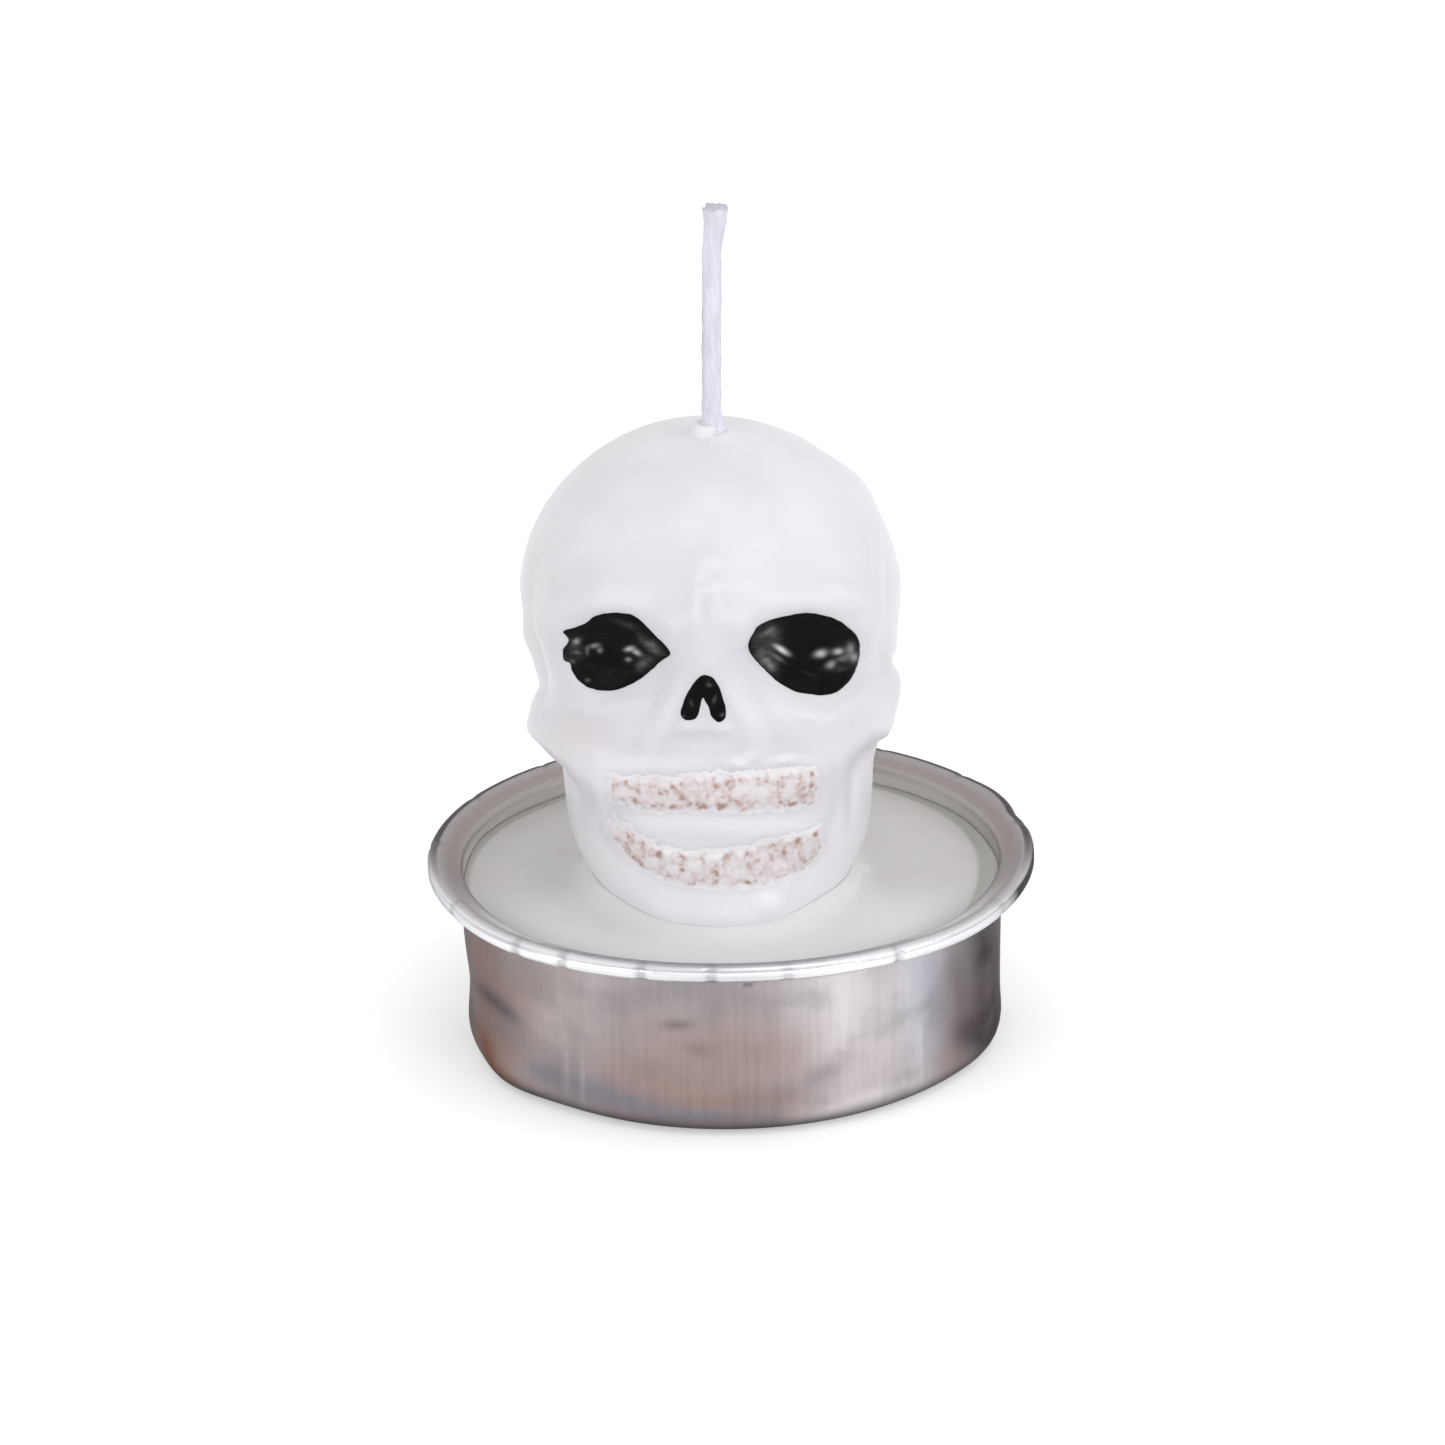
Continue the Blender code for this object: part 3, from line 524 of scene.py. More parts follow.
@dataclass(frozen=True)
class Outline:
    """A painted shape's edge, as a closed line of places in the photograph.

    Args:
        places: points of the line in pixels, in order round the shape.
        ragged_px: how far the brush left the line.
    """

    places: tuple[tuple[float, float], ...]
    ragged_px: float = 0.0

    def line(self, steps: int = 5) -> np.ndarray:
        """Returns a smooth closed line through the places."""
        given = np.array(self.places, dtype=float)
        before = np.roll(given, 1, axis=0)
        after = np.roll(given, -1, axis=0)
        second = np.roll(given, -2, axis=0)
        parts = []
        for step in range(steps):
            t = step / steps
            parts.append(
                0.5
                * (
                    2 * given
                    + (after - before) * t
                    + (2 * before - 5 * given + 4 * after - second) * t**2
                    + (3 * given - before - 3 * after + second) * t**3
                )
            )
        return np.stack(parts, axis=1).reshape(-1, 2)

    def distance(self, pixels: np.ndarray) -> np.ndarray:
        """Returns how far inside the line each pixel lies. It is below zero outside."""
        line = self.line()
        flat = pixels.reshape(-1, 1, 2)
        start = line[None]
        way = np.roll(line, -1, axis=0)[None] - start
        share = np.clip(((flat - start) * way).sum(-1) / (way**2).sum(-1), 0.0, 1.0)
        nearest = np.linalg.norm(flat - start - way * share[..., None], axis=-1).min(axis=1)
        x, y = flat[..., 0], flat[..., 1]
        x0, y0 = start[..., 0], start[..., 1]
        x1, y1 = x0 + way[..., 0], y0 + way[..., 1]
        crosses = (y0 > y) != (y1 > y)
        rise = np.where(y1 == y0, 1.0, y1 - y0)
        left = x < x0 + (y - y0) * (x1 - x0) / rise
        inside = (crosses & left).sum(axis=1) % 2 == 1
        signed = np.where(inside, nearest, -nearest).reshape(pixels.shape[:-1])
        if self.ragged_px:
            at = np.concatenate([pixels, 0 * pixels[..., :1]], axis=-1)
            signed = signed + self.ragged_px * rough(at, 0.16, 3.7)
        return signed


LEFT_EYE = Outline(
    places=(
        (563, 632), (572, 628), (584, 624), (595, 616), (609, 613), (629, 614), (640, 620),
        (654, 634), (670, 652), (661, 661), (647, 674), (630, 685), (609, 691), (590, 688),
        (579, 681), (572, 671), (570, 663), (564, 660), (563, 650), (569, 640),
    ),
    ragged_px=0.5,
)
RIGHT_EYE = Outline(
    places=(
        (748, 646), (753, 634), (759, 625), (773, 619), (790, 615), (809, 613), (826, 616),
        (838, 620), (849, 628), (857, 636), (860, 648), (858, 664), (851, 679), (840, 690),
        (826, 695), (808, 694), (794, 691), (778, 682), (764, 669), (753, 657),
    ),
    ragged_px=0.5,
)
NOSE_MARK = Outline(
    places=(
        (706, 675), (713, 678), (719, 687), (723, 698), (726, 710), (725, 719), (718, 722),
        (711, 716), (709, 708), (705, 701), (703, 698), (701, 703), (699, 712), (695, 719),
        (686, 720), (681, 715), (682, 706), (687, 694), (693, 684), (699, 677),
    ),
    ragged_px=0.4,
)

LEFT_EYE_LUMPS = rows_of(
    Swell,
    (600, 650, 7, 4.5, 0.15, -12), (583, 648, 4.5, 5, 0.14), (637, 652, 10, 4.5, 0.15, -14),
    (632, 663, 5, 3.5, 0.1), (570, 658, 4.5, 5, 0.14), (572, 637, 6, 4, 0.12, 20),
    (590, 662, 6, 4, -0.06), (618, 668, 14, 7, -0.05), (655, 651, 9, 8, 0.1),
)
RIGHT_EYE_LUMPS = rows_of(
    Swell,
    (783, 653, 7, 4.5, 0.16, -22), (820, 656, 6, 4.5, 0.15), (836, 652, 6, 4, 0.14, 10),
    (829, 667, 7, 4, 0.13), (848, 656, 5, 8, 0.1), (764, 645, 6, 15, 0.1, -30),
    (800, 670, 16, 6, -0.05, -20),
)
NOSE_LUMPS = rows_of(
    Swell,
    (694, 702, 4, 6, 0.12), (716, 698, 4, 5, 0.12), (709, 684, 4, 4, 0.1), (719, 714, 4, 4, 0.12),
    (688, 714, 4, 4, 0.1),
)


@dataclass(frozen=True)
class Smudge:
    """A soft mark of paint, wear or tarnish.

    Args:
        x: middle of the mark, in pixels.
        y: the same, downwards.
        half_x: reach to the sides, in pixels.
        half_y: reach up and down, in pixels.
        strength: how much colour it carries. It wipes colour off when it is below zero.
        turn_deg: how far the mark is turned, anticlockwise in the picture.
    """

    x: float
    y: float
    half_x: float
    half_y: float
    strength: float
    turn_deg: float = 0.0

    def share(self, pixels: np.ndarray) -> np.ndarray:
        """Returns the mark's strength at the pixels."""
        form = Swell(self.x, self.y, self.half_x, self.half_y, 0.0, self.turn_deg)
        return self.strength * form.share(pixels)


def shares(marks: tuple[Smudge, ...], pixels: np.ndarray) -> np.ndarray:
    """Returns how strong the marks are together at the pixels."""
    return sum((mark.share(pixels) for mark in marks), 0 * pixels[..., 0])


# Painted shade: darker patches between the eyes, on the cheeks and down the skull's sides.
FACE_PAINTED_SHADE = rows_of(
    Smudge,
    (708, 646, 28, 26, 0.85), (582, 728, 44, 30, 0.45, 10), (592, 680, 60, 46, 0.3),
    (640, 716, 34, 20, 0.3), (812, 745, 50, 22, 0.35), (704, 744, 60, 18, 0.3),
    (880, 560, 8, 60, 0.3), (532, 590, 8, 70, 0.4), (606, 570, 44, 14, 0.22),
    (590, 470, 50, 40, 0.25),
)
# Pink painted shade, in the left cheek's hollow and down the skull's left side.
FACE_PINK_SHADE = rows_of(Smudge, (580, 736, 40, 26, 0.6), (540, 560, 14, 90, 0.6))
FILL_SPOTS = rows_of(Smudge, (576, 855, 8, 4, 1.0), (562, 851, 6, 3, 0.5))
FILL_SPILL = Smudge(866, 869, 5, 9, 1.0, 20.0)
# Painted highlights: pale glints on the left eye's paint.
LEFT_EYE_PAINTED_GLINTS = rows_of(
    Smudge,
    (630, 648, 4.5, 2.2, 0.62, 14), (638, 651, 5, 2.2, 0.62, -30), (629, 659, 3, 2, 0.34),
    (595, 645, 4.5, 2, 0.34, 10), (601, 649, 2.6, 2.4, 0.3, -40), (588, 650, 1.8, 4, 0.16),
    (577, 641, 3.4, 2.8, 0.44, 30), (577, 652, 5, 1.6, 0.12), (588, 680, 2.4, 1.6, 0.14),
    (573, 661, 2.4, 2, 0.14),
)
# Painted highlights: pale glints on the right eye's paint.
RIGHT_EYE_PAINTED_GLINTS = rows_of(
    Smudge,
    (781, 649, 7, 2.4, 1.15, -32), (777, 657, 7, 2, 0.16, -34), (820, 653, 5.5, 3.2, 0.72, 16),
    (837, 651, 4.5, 2.6, 0.62, 10), (830, 664, 4.5, 3, 0.42, 30), (850, 648, 3.5, 5, 0.3),
    (853, 657, 4, 4, 0.36), (843, 658, 6, 3, 0.18, 14), (769, 630, 7, 2.4, 0.12, 35),
    (769, 664, 3, 7, 0.2, 38),
)
# Painted sheen: grey gloss near the left eye's tips and edges.
LEFT_EYE_PAINTED_SHEENS = rows_of(
    Smudge,
    (652, 645, 12, 4, 0.18, -38), (645, 663, 8, 5, 0.14, 30), (576, 648, 8, 12, 0.05),
    (627, 624, 12, 3, 0.05, -16),
)
# Painted sheen: grey gloss near the right eye's tips and edges.
RIGHT_EYE_PAINTED_SHEENS = rows_of(
    Smudge,
    (767, 636, 12, 9, 0.13, 30), (766, 660, 8, 12, 0.14, 34), (762, 648, 6, 8, 0.06),
    (846, 654, 10, 8, 0.1), (838, 668, 12, 3, 0.05),
)
# Painted highlights: pale glints on the nose's paint.
NOSE_PAINTED_GLINTS = rows_of(
    Smudge,
    (709, 684, 2.6, 1.8, 0.12, -20), (692, 702, 1.6, 3.4, 0.07, 20), (714, 699, 1.5, 4, 0.08, -16),
    (722, 714, 2.2, 1.6, 0.12), (684, 716, 1.8, 1.5, 0.06),
)
UPPER_SMUDGES = rows_of(
    Smudge,
    (621, 779, 8, 4, 0.5), (627, 804, 9, 4, 0.6), (652, 796, 4, 6, 0.6), (677, 784, 5, 6, 0.8),
    (664, 787, 12, 4, 0.4, 15), (692, 786, 5, 7, 0.4), (695, 805, 8, 4, 0.9),
    (722, 778, 14, 4, 0.5), (718, 788, 10, 5, 0.3), (735, 786, 4, 8, 0.4), (728, 804, 9, 3, 0.5),
    (746, 809, 13, 3.5, 1), (780, 789, 4, 9, 0.7), (789, 774, 5, 4, 0.9), (800, 790, 3.5, 12, 0.8),
    (794, 804, 9, 3.5, 0.7, 12), (811, 774, 3.5, 4, 0.9), (811, 792, 3, 10, 0.5),
    (709, 785, 5, 8, -0.7), (752, 789, 17, 8, -0.8), (766, 800, 12, 5, -0.4),
    (791, 790, 5, 8, -0.6), (621, 792, 5, 4, -0.5), (641, 798, 4, 4, -0.5), (663, 798, 5, 4, -0.5),
)
LOWER_SMUDGES = rows_of(
    Smudge,
    (625, 831, 7, 6, 0.7), (631, 850, 5, 8, 0.9), (642, 856, 4, 6, 0.5), (660, 855, 5, 4, 1),
    (682, 863, 4, 10, 0.9), (667, 879, 6, 5, 0.6), (692, 885, 5, 4, 0.5), (703, 856, 14, 5, 0.3),
    (716, 874, 4, 11, 0.7), (735, 856, 14, 6, 0.35), (748, 886, 6, 5, 0.6), (763, 868, 7, 7, 0.45),
    (773, 848, 16, 8, 0.5, 10), (784, 855, 7, 8, 0.8), (799, 846, 4, 9, 0.6),
    (803, 862, 4, 7, 0.6), (786, 879, 5, 5, 0.6), (813, 834, 5, 5, 0.8), (815, 856, 5, 6, 0.4),
    (650, 872, 9, 5, -0.6), (692, 866, 5, 6, -0.6), (742, 873, 8, 7, -0.3), (776, 868, 5, 5, -0.4),
    (795, 856, 3, 6, -0.7), (806, 847, 4, 6, -0.5), (640, 838, 5, 5, -0.5),
)


def read_surface(grid: SkullGrid) -> SkullSurface:
    """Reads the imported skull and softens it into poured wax, most of all under the eyes' paint."""
    origins, directions, distances = read_solids(grid)
    closed = close_gaps(distances, 3)
    soft = blur(closed, 3.0, rounds=2)
    level = blur(closed, 7.0, rounds=2)
    pixels = CAMERA.project(origins + directions * soft[..., None])
    painted = np.maximum(LEFT_EYE.distance(pixels), RIGHT_EYE.distance(pixels))
    ahead = directions[..., 1] < -0.5
    share = smoothstep(painted, -8.0, 10.0) * ahead
    distances = soft + (level - soft) * share
    surface = SkullSurface(grid, origins + directions * distances[..., None])
    surface.refresh()
    return surface


def between(values: np.ndarray, axis: int) -> np.ndarray:
    """Doubles the rows or columns of a map with smooth in-between values."""
    count = values.shape[axis]
    edge = [(0, 0)] * values.ndim
    edge[axis] = (1, 1)
    padded = np.pad(values, edge, mode="edge")

    def part(start):
        return np.take(padded, range(start, start + count - 1), axis=axis)

    middle = (9 * (part(1) + part(2)) - part(0) - part(3)) / 16
    shape = list(values.shape)
    shape[axis] = 2 * count - 1
    out = np.zeros(shape)
    even = [slice(None)] * values.ndim
    odd = [slice(None)] * values.ndim
    even[axis] = slice(0, None, 2)
    odd[axis] = slice(1, None, 2)
    out[tuple(even)] = values
    out[tuple(odd)] = middle
    return out


@dataclass
class Coat:
    """A thin coat of paint that lies on a part of the face.

    Args:
        name: name of the piece.
        surface: the wax under the coat.
        rows: the first and last row of the part.
        columns: the first and last column of the part.
    """

    name: str
    surface: SkullSurface
    rows: tuple[int, int]
    columns: tuple[int, int]
    points: np.ndarray = field(default_factory=lambda: np.zeros(0))
    normals: np.ndarray = field(default_factory=lambda: np.zeros(0))
    pixels: np.ndarray = field(default_factory=lambda: np.zeros(0))

    def __post_init__(self) -> None:
        window = (slice(*self.rows), slice(*self.columns))
        self.points = between(between(self.surface.points[window], 0), 1)
        self.normals = between(between(self.surface.normals[window], 0), 1)
        self.pixels = CAMERA.project(self.points)

    def build(
        self, lift: np.ndarray, keep: np.ndarray, masks: dict[str, np.ndarray]
    ) -> bpy.types.Object:
        """Makes the coat's mesh.

        Args:
            lift: how far it lies above the wax. It goes below zero outside the coat.
            keep: where the mesh is kept.
            masks: maps to store on the mesh by name.

        Returns:
            The new piece.
        """
        piece = sheet(self.name, self.points + self.normals * lift[..., None], masks)
        flat = keep.reshape(-1)
        for face in piece.data.polygons:
            face.select = not any(flat[i] for i in face.vertices)
        bpy.context.tool_settings.mesh_select_mode = (False, False, True)
        bpy.ops.object.mode_set(mode="EDIT")
        bpy.ops.mesh.delete(type="FACE")
        bpy.ops.mesh.select_all(action="SELECT")
        bpy.ops.mesh.delete_loose()
        bpy.ops.object.mode_set(mode="OBJECT")
        if piece.data.polygons[0].normal.dot(CAMERA.aim) > 0:
            piece.data.flip_normals()
        thicken = piece.modifiers.new("thickness", "SOLIDIFY")
        thicken.thickness = COAT_SHEET
        thicken.offset = -1.0
        bpy.ops.object.modifier_apply(modifier=thicken.name)
        bpy.ops.object.shade_smooth()
        return piece


# Making materials

Colour = tuple[float, float, float]


class Tree:
    """Short calls for building a node tree.

    Args:
        tree: the tree, which is emptied.
        owner: the material that it belongs to, if it is one's.
    """

    def __init__(self, tree: bpy.types.NodeTree, owner: bpy.types.Material | None = None) -> None:
        self.tree = tree
        self.owner = owner
        tree.nodes.clear()

    def add(self, kind: str, **settings) -> bpy.types.Node:
        """Adds a node and sets its properties."""
        node = self.tree.nodes.new("ShaderNode" + kind)
        for name, value in settings.items():
            setattr(node, name, value)
        return node

    def feed(self, socket, value) -> None:
        """Links an input to an output, or sets it to a plain number, colour or vector."""
        if isinstance(value, bpy.types.NodeSocket):
            self.tree.links.new(value, socket)
        else:
            socket.default_value = (*value, 1.0) if socket.type == "RGBA" else value

    def put(self, kind: str, inputs: dict, output: int | str = 0, **settings):
        """Adds a node, feeds its inputs by name or number and returns one of its outputs."""
        node = self.add(kind, **settings)
        for name, value in inputs.items():
            self.feed(node.inputs[name], value)
        return node.outputs[output]

    def settle(self, shader: bpy.types.Node, **values) -> None:
        """Feeds a shader's inputs by name."""
        for name, value in values.items():
            self.feed(shader.inputs[name.replace("_", " ")], value)

    def use(self, group: bpy.types.NodeTree, **values):
        """Adds a group, feeds its inputs by name and returns its output."""
        node = self.tree.nodes.new("ShaderNodeGroup")
        node.node_tree = group
        for name, value in values.items():
            self.feed(node.inputs[name.replace("_", " ").capitalize()], value)
        return node.outputs[0]

    def math(self, operation: str, first, second=0.0, third=0.0, clamp: bool = False):
        """Adds a calculation and returns its result."""
        given = dict(enumerate((first, second, third)))
        return self.put("Math", given, operation=operation, use_clamp=clamp)

    def times(self, first, second):
        """Returns the product of two values."""
        return self.math("MULTIPLY", first, second)

    def line(self, value, factor, offset, clamp: bool = False):
        """Returns a value times a factor, plus an offset."""
        return self.math("MULTIPLY_ADD", value, factor, offset, clamp)

    def ramp(self, value, low, high, start: float = 0.0, end: float = 1.0):
        """Maps low to start and high to end with a soft step."""
        given = {"Value": value, "From Min": low, "From Max": high, "To Min": start, "To Max": end}
        return self.put("MapRange", given, interpolation_type="SMOOTHSTEP")

    def spread(self, value, start: float, end: float):
        """Maps 0 to start and 1 to end with a soft step."""
        return self.ramp(value, 0.0, 1.0, start, end)

    def mix(self, share, first, second, blend: str = "MIX"):
        """Mixes two colours and returns the result."""
        given = {0: share, 6: first, 7: second}
        return self.put("Mix", given, 2, data_type="RGBA", blend_type=blend)

    def layers(self, colour, *over: tuple):
        """Lays colours over a first one, each given after the share that covers."""
        for share, tint in over:
            colour = self.mix(share, colour, tint)
        return colour

    def bump(self, height, strength, distance_mm: float, **under):
        """Returns the normal of a relief, over another one if it is given as Normal."""
        given = {"Height": height, "Strength": strength, "Distance": distance_mm * MM}
        return self.put("Bump", given | under)

    def attribute(self, name: str, share: float = 1.0):
        """Returns a share of a map stored on the mesh."""
        value = self.add("Attribute", attribute_name=name).outputs["Fac"]
        return value if share == 1.0 else self.times(value, share)

    def place(self):
        """Returns the place in the piece's own space."""
        return self.add("TexCoord").outputs["Object"]


def group_tree(name: str, inputs: dict[str, float | tuple], output: str, kind: str = "Float"):
    """Starts a node group with one output.

    Args:
        name: name of the group.
        inputs: for each input its plain value, a number or a vector.
        output: name of the output.
        kind: kind of the output.

    Returns:
        The tree, the inputs' sockets inside it and the output's socket inside it.
    """
    group = bpy.data.node_groups.new(name, "ShaderNodeTree")
    for label, value in inputs.items():
        given = "NodeSocketVector" if isinstance(value, tuple) else "NodeSocketFloat"
        socket = group.interface.new_socket(label, in_out="INPUT", socket_type=given)
        socket.default_value = value
    group.interface.new_socket(output, in_out="OUTPUT", socket_type="NodeSocket" + kind)
    tree = Tree(group)
    entry = group.nodes.new("NodeGroupInput")
    return tree, entry.outputs, group.nodes.new("NodeGroupOutput").inputs[0]


def cloud_group() -> bpy.types.NodeTree:
    """Soft patches in the piece's own space, for mottling and stains."""
    plain = {"Scale": 300.0, "Stretch": (1.0, 1.0, 1.0), "Detail": 2.0, "Low": 0.4, "High": 0.6}
    tree, given, result = group_tree("cloud", plain | {"Shift": (0.0, 0.0, 0.0)}, "Mask")
    moved = {0: tree.place(), 1: given["Stretch"], 2: given["Shift"]}
    vector = tree.put("VectorMath", moved, operation="MULTIPLY_ADD")
    noisy = {"Vector": vector, "Scale": given["Scale"], "Detail": given["Detail"]}
    cloud = tree.put("TexNoise", noisy, "Fac")
    tree.feed(result, tree.ramp(cloud, given["Low"], given["High"]))
    return tree.tree


def skin_group(cloud: bpy.types.NodeTree) -> bpy.types.NodeTree:
    """The uneven skin that wax sets with: slow waves and fine pitting, as a normal."""
    plain = {"Waves": 0.2, "Pits": 0.1, "Wave scale": 420.0, "Pit scale": 3200.0}
    tree, given, result = group_tree("wax_skin", plain, "Normal", "Vector")
    wave = tree.use(cloud, scale=given["Wave scale"], detail=2.0, low=0.2, high=0.8)
    pit = tree.use(cloud, scale=given["Pit scale"], detail=3.0, low=0.25, high=0.75)
    slow = tree.bump(wave, given["Waves"], 0.35)
    tree.feed(result, tree.bump(pit, given["Pits"], 0.05, Normal=slow))
    return tree.tree


def heading_group() -> bpy.types.NodeTree:
    """How close a point lies to a heading round the upright axis, as a mask."""
    tree, given, result = group_tree("heading", {"Heading": 0.0, "Half width": 0.5}, "Mask")
    place = tree.add("SeparateXYZ")
    tree.feed(place.inputs[0], tree.place())
    angle = tree.math("ARCTAN2", place.outputs["X"], tree.times(place.outputs["Y"], -1.0))
    apart = tree.math("SUBTRACT", angle, given["Heading"])
    share = tree.math("DIVIDE", tree.math("WRAP", apart, math.pi, -math.pi), given["Half width"])
    tree.feed(result, tree.math("EXPONENT", tree.times(tree.times(share, share), -1.0)))
    return tree.tree


def streak_group() -> bpy.types.NodeTree:
    """Drawn lines on a turned piece, by how often they change round it and along its profile."""
    tree, given, result = group_tree("streaks", {"Across": 400.0, "Along": 7.0}, "Value")
    scale = tree.put("CombineXYZ", {"X": given["Across"], "Y": given["Along"]})
    laid = {0: tree.add("UVMap").outputs["UV"], 1: scale}
    vector = tree.put("VectorMath", laid, operation="MULTIPLY")
    noisy = {"Vector": vector, "Scale": 1.0, "Detail": 4.0, "Roughness": 0.65}
    tree.feed(result, tree.put("TexNoise", noisy, "Fac", noise_dimensions="2D"))
    return tree.tree


class Finish(str, Enum):
    """The finishes of the candle."""

    ALUMINIUM = "aluminium"
    TIN = "tinned_steel"
    FILL = "fill_wax"
    SKULL = "skull_wax"
    ENAMEL = "black_enamel"
    STAIN = "brown_stain"
    COTTON = "waxed_cotton"


def start(finish: Finish) -> tuple[Tree, bpy.types.Node]:
    """Starts a material and returns its tree and its shader."""
    material = bpy.data.materials.new(finish.value)
    material.use_nodes = True
    tree = Tree(material.node_tree, material)
    shader = tree.add("BsdfPrincipled")
    tree.feed(tree.add("OutputMaterial").inputs["Surface"], shader.outputs["BSDF"])
    return tree, shader


WAX_WHITE = (0.800, 0.785, 0.825)
# Grey of the wax's clouds, and of its painted shade.
WAX_SHADE = (0.655, 0.638, 0.680)
# Painted light on the chin and lower face.
WAX_PAINTED_LIGHT = (0.900, 0.888, 0.922)
# Pink of the wax's clouds, and of its pink painted shade.
WAX_PINK = (0.780, 0.705, 0.715)
STAIN_BROWN = (0.620, 0.490, 0.460)
STAIN_DARK = (0.420, 0.285, 0.250)
ENAMEL_BLACK = (0.0030, 0.0030, 0.0028)
# Pale colour of the paint's painted highlights.
ENAMEL_PAINTED_HIGHLIGHT = (0.640, 0.640, 0.660)
FILL_GREY = (0.585, 0.565, 0.545)
FILL_PALE = (0.670, 0.655, 0.655)
# Painted light: the wax's paleness near the skull and over its front.
FILL_PALE_AND_PAINTED_LIGHT = (0.800, 0.785, 0.805)
FILL_STAIN = (0.500, 0.330, 0.310)
# Painted shade along the wall in front.
FILL_WALL_SHADE = (0.310, 0.302, 0.300)
FILL_EDGE = (0.370, 0.362, 0.330)
COTTON_SHADE = (0.640, 0.620, 0.710)
COTTON_WHITE = (0.740, 0.725, 0.810)
COTTON_SMEAR = (0.480, 0.400, 0.400)
COTTON_TIP = (0.520, 0.520, 0.560)
TIN_DARK = (0.50, 0.50, 0.51)
TIN_PALE = (0.62, 0.62, 0.63)
WAX_IOR = 1.44


@dataclass(frozen=True)
class Field:
    """A soft upright field of colour on the cup, set by heading. Most are painted reflections, light
    and dark.

    Args:
        heading_deg: its middle, from the front towards the right.
        half_deg: half its width.
        share: how much of it covers.
        colour: its colour.
        low: whether it keeps to the foot of the wall.
    """

    heading_deg: float
    half_deg: float
    share: float
    colour: Colour
    low: bool = False


METAL_GREY = (0.350, 0.308, 0.310)
# Warm tarnish, also laid as a warm painted reflection low on the front of the wall.
TARNISH_AND_WARM_REFLECTION = (0.300, 0.200, 0.178)
SMEAR_GREY = (0.200, 0.195, 0.205)
# Painted shade on the foot of the wall.
FOOT_SHADE_GREY = (0.085, 0.088, 0.100)
INNER_GREY = (0.420, 0.390, 0.375)
FILM_GREY = (0.600, 0.580, 0.545)
LIP_GREY = (0.350, 0.310, 0.305)
CROWN_GREY = (0.420, 0.395, 0.400)
BEAD_WHITE = (0.880, 0.880, 0.905)
BEAD_SCUFF = (0.480, 0.485, 0.530)
BEAD_GREY = (0.480, 0.480, 0.520)
FOLD_GREY = (0.430, 0.430, 0.470)
# Painted shade on the bead's back.
BACK_SHADE_GREY = (0.070, 0.062, 0.062)
# Painted shade in the nicks across the bead.
NICK_SHADE_GREY = (0.230, 0.235, 0.260)
# Painted shadow in the rim's open curl.
CURL_SHADOW_BLACK = (0.018, 0.014, 0.012)
# Painted highlight on the lip.
LIP_PAINTED_HIGHLIGHT = (0.920, 0.920, 0.940)
# Painted reflections by heading: light and dark upright bands, darkest at the wall's sides.
WALL_PAINTED_REFLECTIONS = (
    Field(-62, 14, 0.85, (0.240, 0.190, 0.180)),
    Field(-41, 9, 0.60, (0.430, 0.372, 0.368)),
    Field(-85, 9, 0.75, (0.150, 0.120, 0.110)),
    Field(-6, 26, 0.65, TARNISH_AND_WARM_REFLECTION, low=True),
    Field(25, 11, 0.75, (0.640, 0.600, 0.620)),
    Field(44, 8, 0.80, (0.500, 0.510, 0.570)),
    Field(64, 10, 0.90, (0.190, 0.192, 0.222)),
    Field(84, 13, 0.95, (0.045, 0.040, 0.038)),
)
FILM_FIELDS = (Field(84, 30, 1.0, (0.360, 0.350, 0.325)),)
# Painted reflections on the lip, brighter in front, with painted highlights to either side.
LIP_PAINTED_REFLECTIONS = (
    Field(2, 52, 1.0, (0.560, 0.555, 0.590)),
    Field(-45, 17, 0.95, LIP_PAINTED_HIGHLIGHT),
    Field(48, 18, 0.95, LIP_PAINTED_HIGHLIGHT),
)
# Painted reflections on the crown and the bead, brighter across the front and greyer at its middle.
CROWN_PAINTED_REFLECTIONS = (Field(2, 62, 1.0, (0.800, 0.800, 0.830)), Field(-1, 20, 0.80, BEAD_GREY))
BEAD_PAINTED_REFLECTIONS = (Field(-1, 17, 0.40, BEAD_GREY),)
# Colours of the wall's marks: soot and painted shade, blue and warm painted reflections, pale
# painted highlights, and rust.
MARK_TINTS = {
    "warm": (0.90, TARNISH_AND_WARM_REFLECTION),
    "blue": (0.90, (0.185, 0.195, 0.235)),
    "pale": (0.80, (0.740, 0.710, 0.730)),
    "rust": (0.90, (0.190, 0.080, 0.045)),
    "soot_and_shade": (0.95, (0.060, 0.056, 0.062)),
}


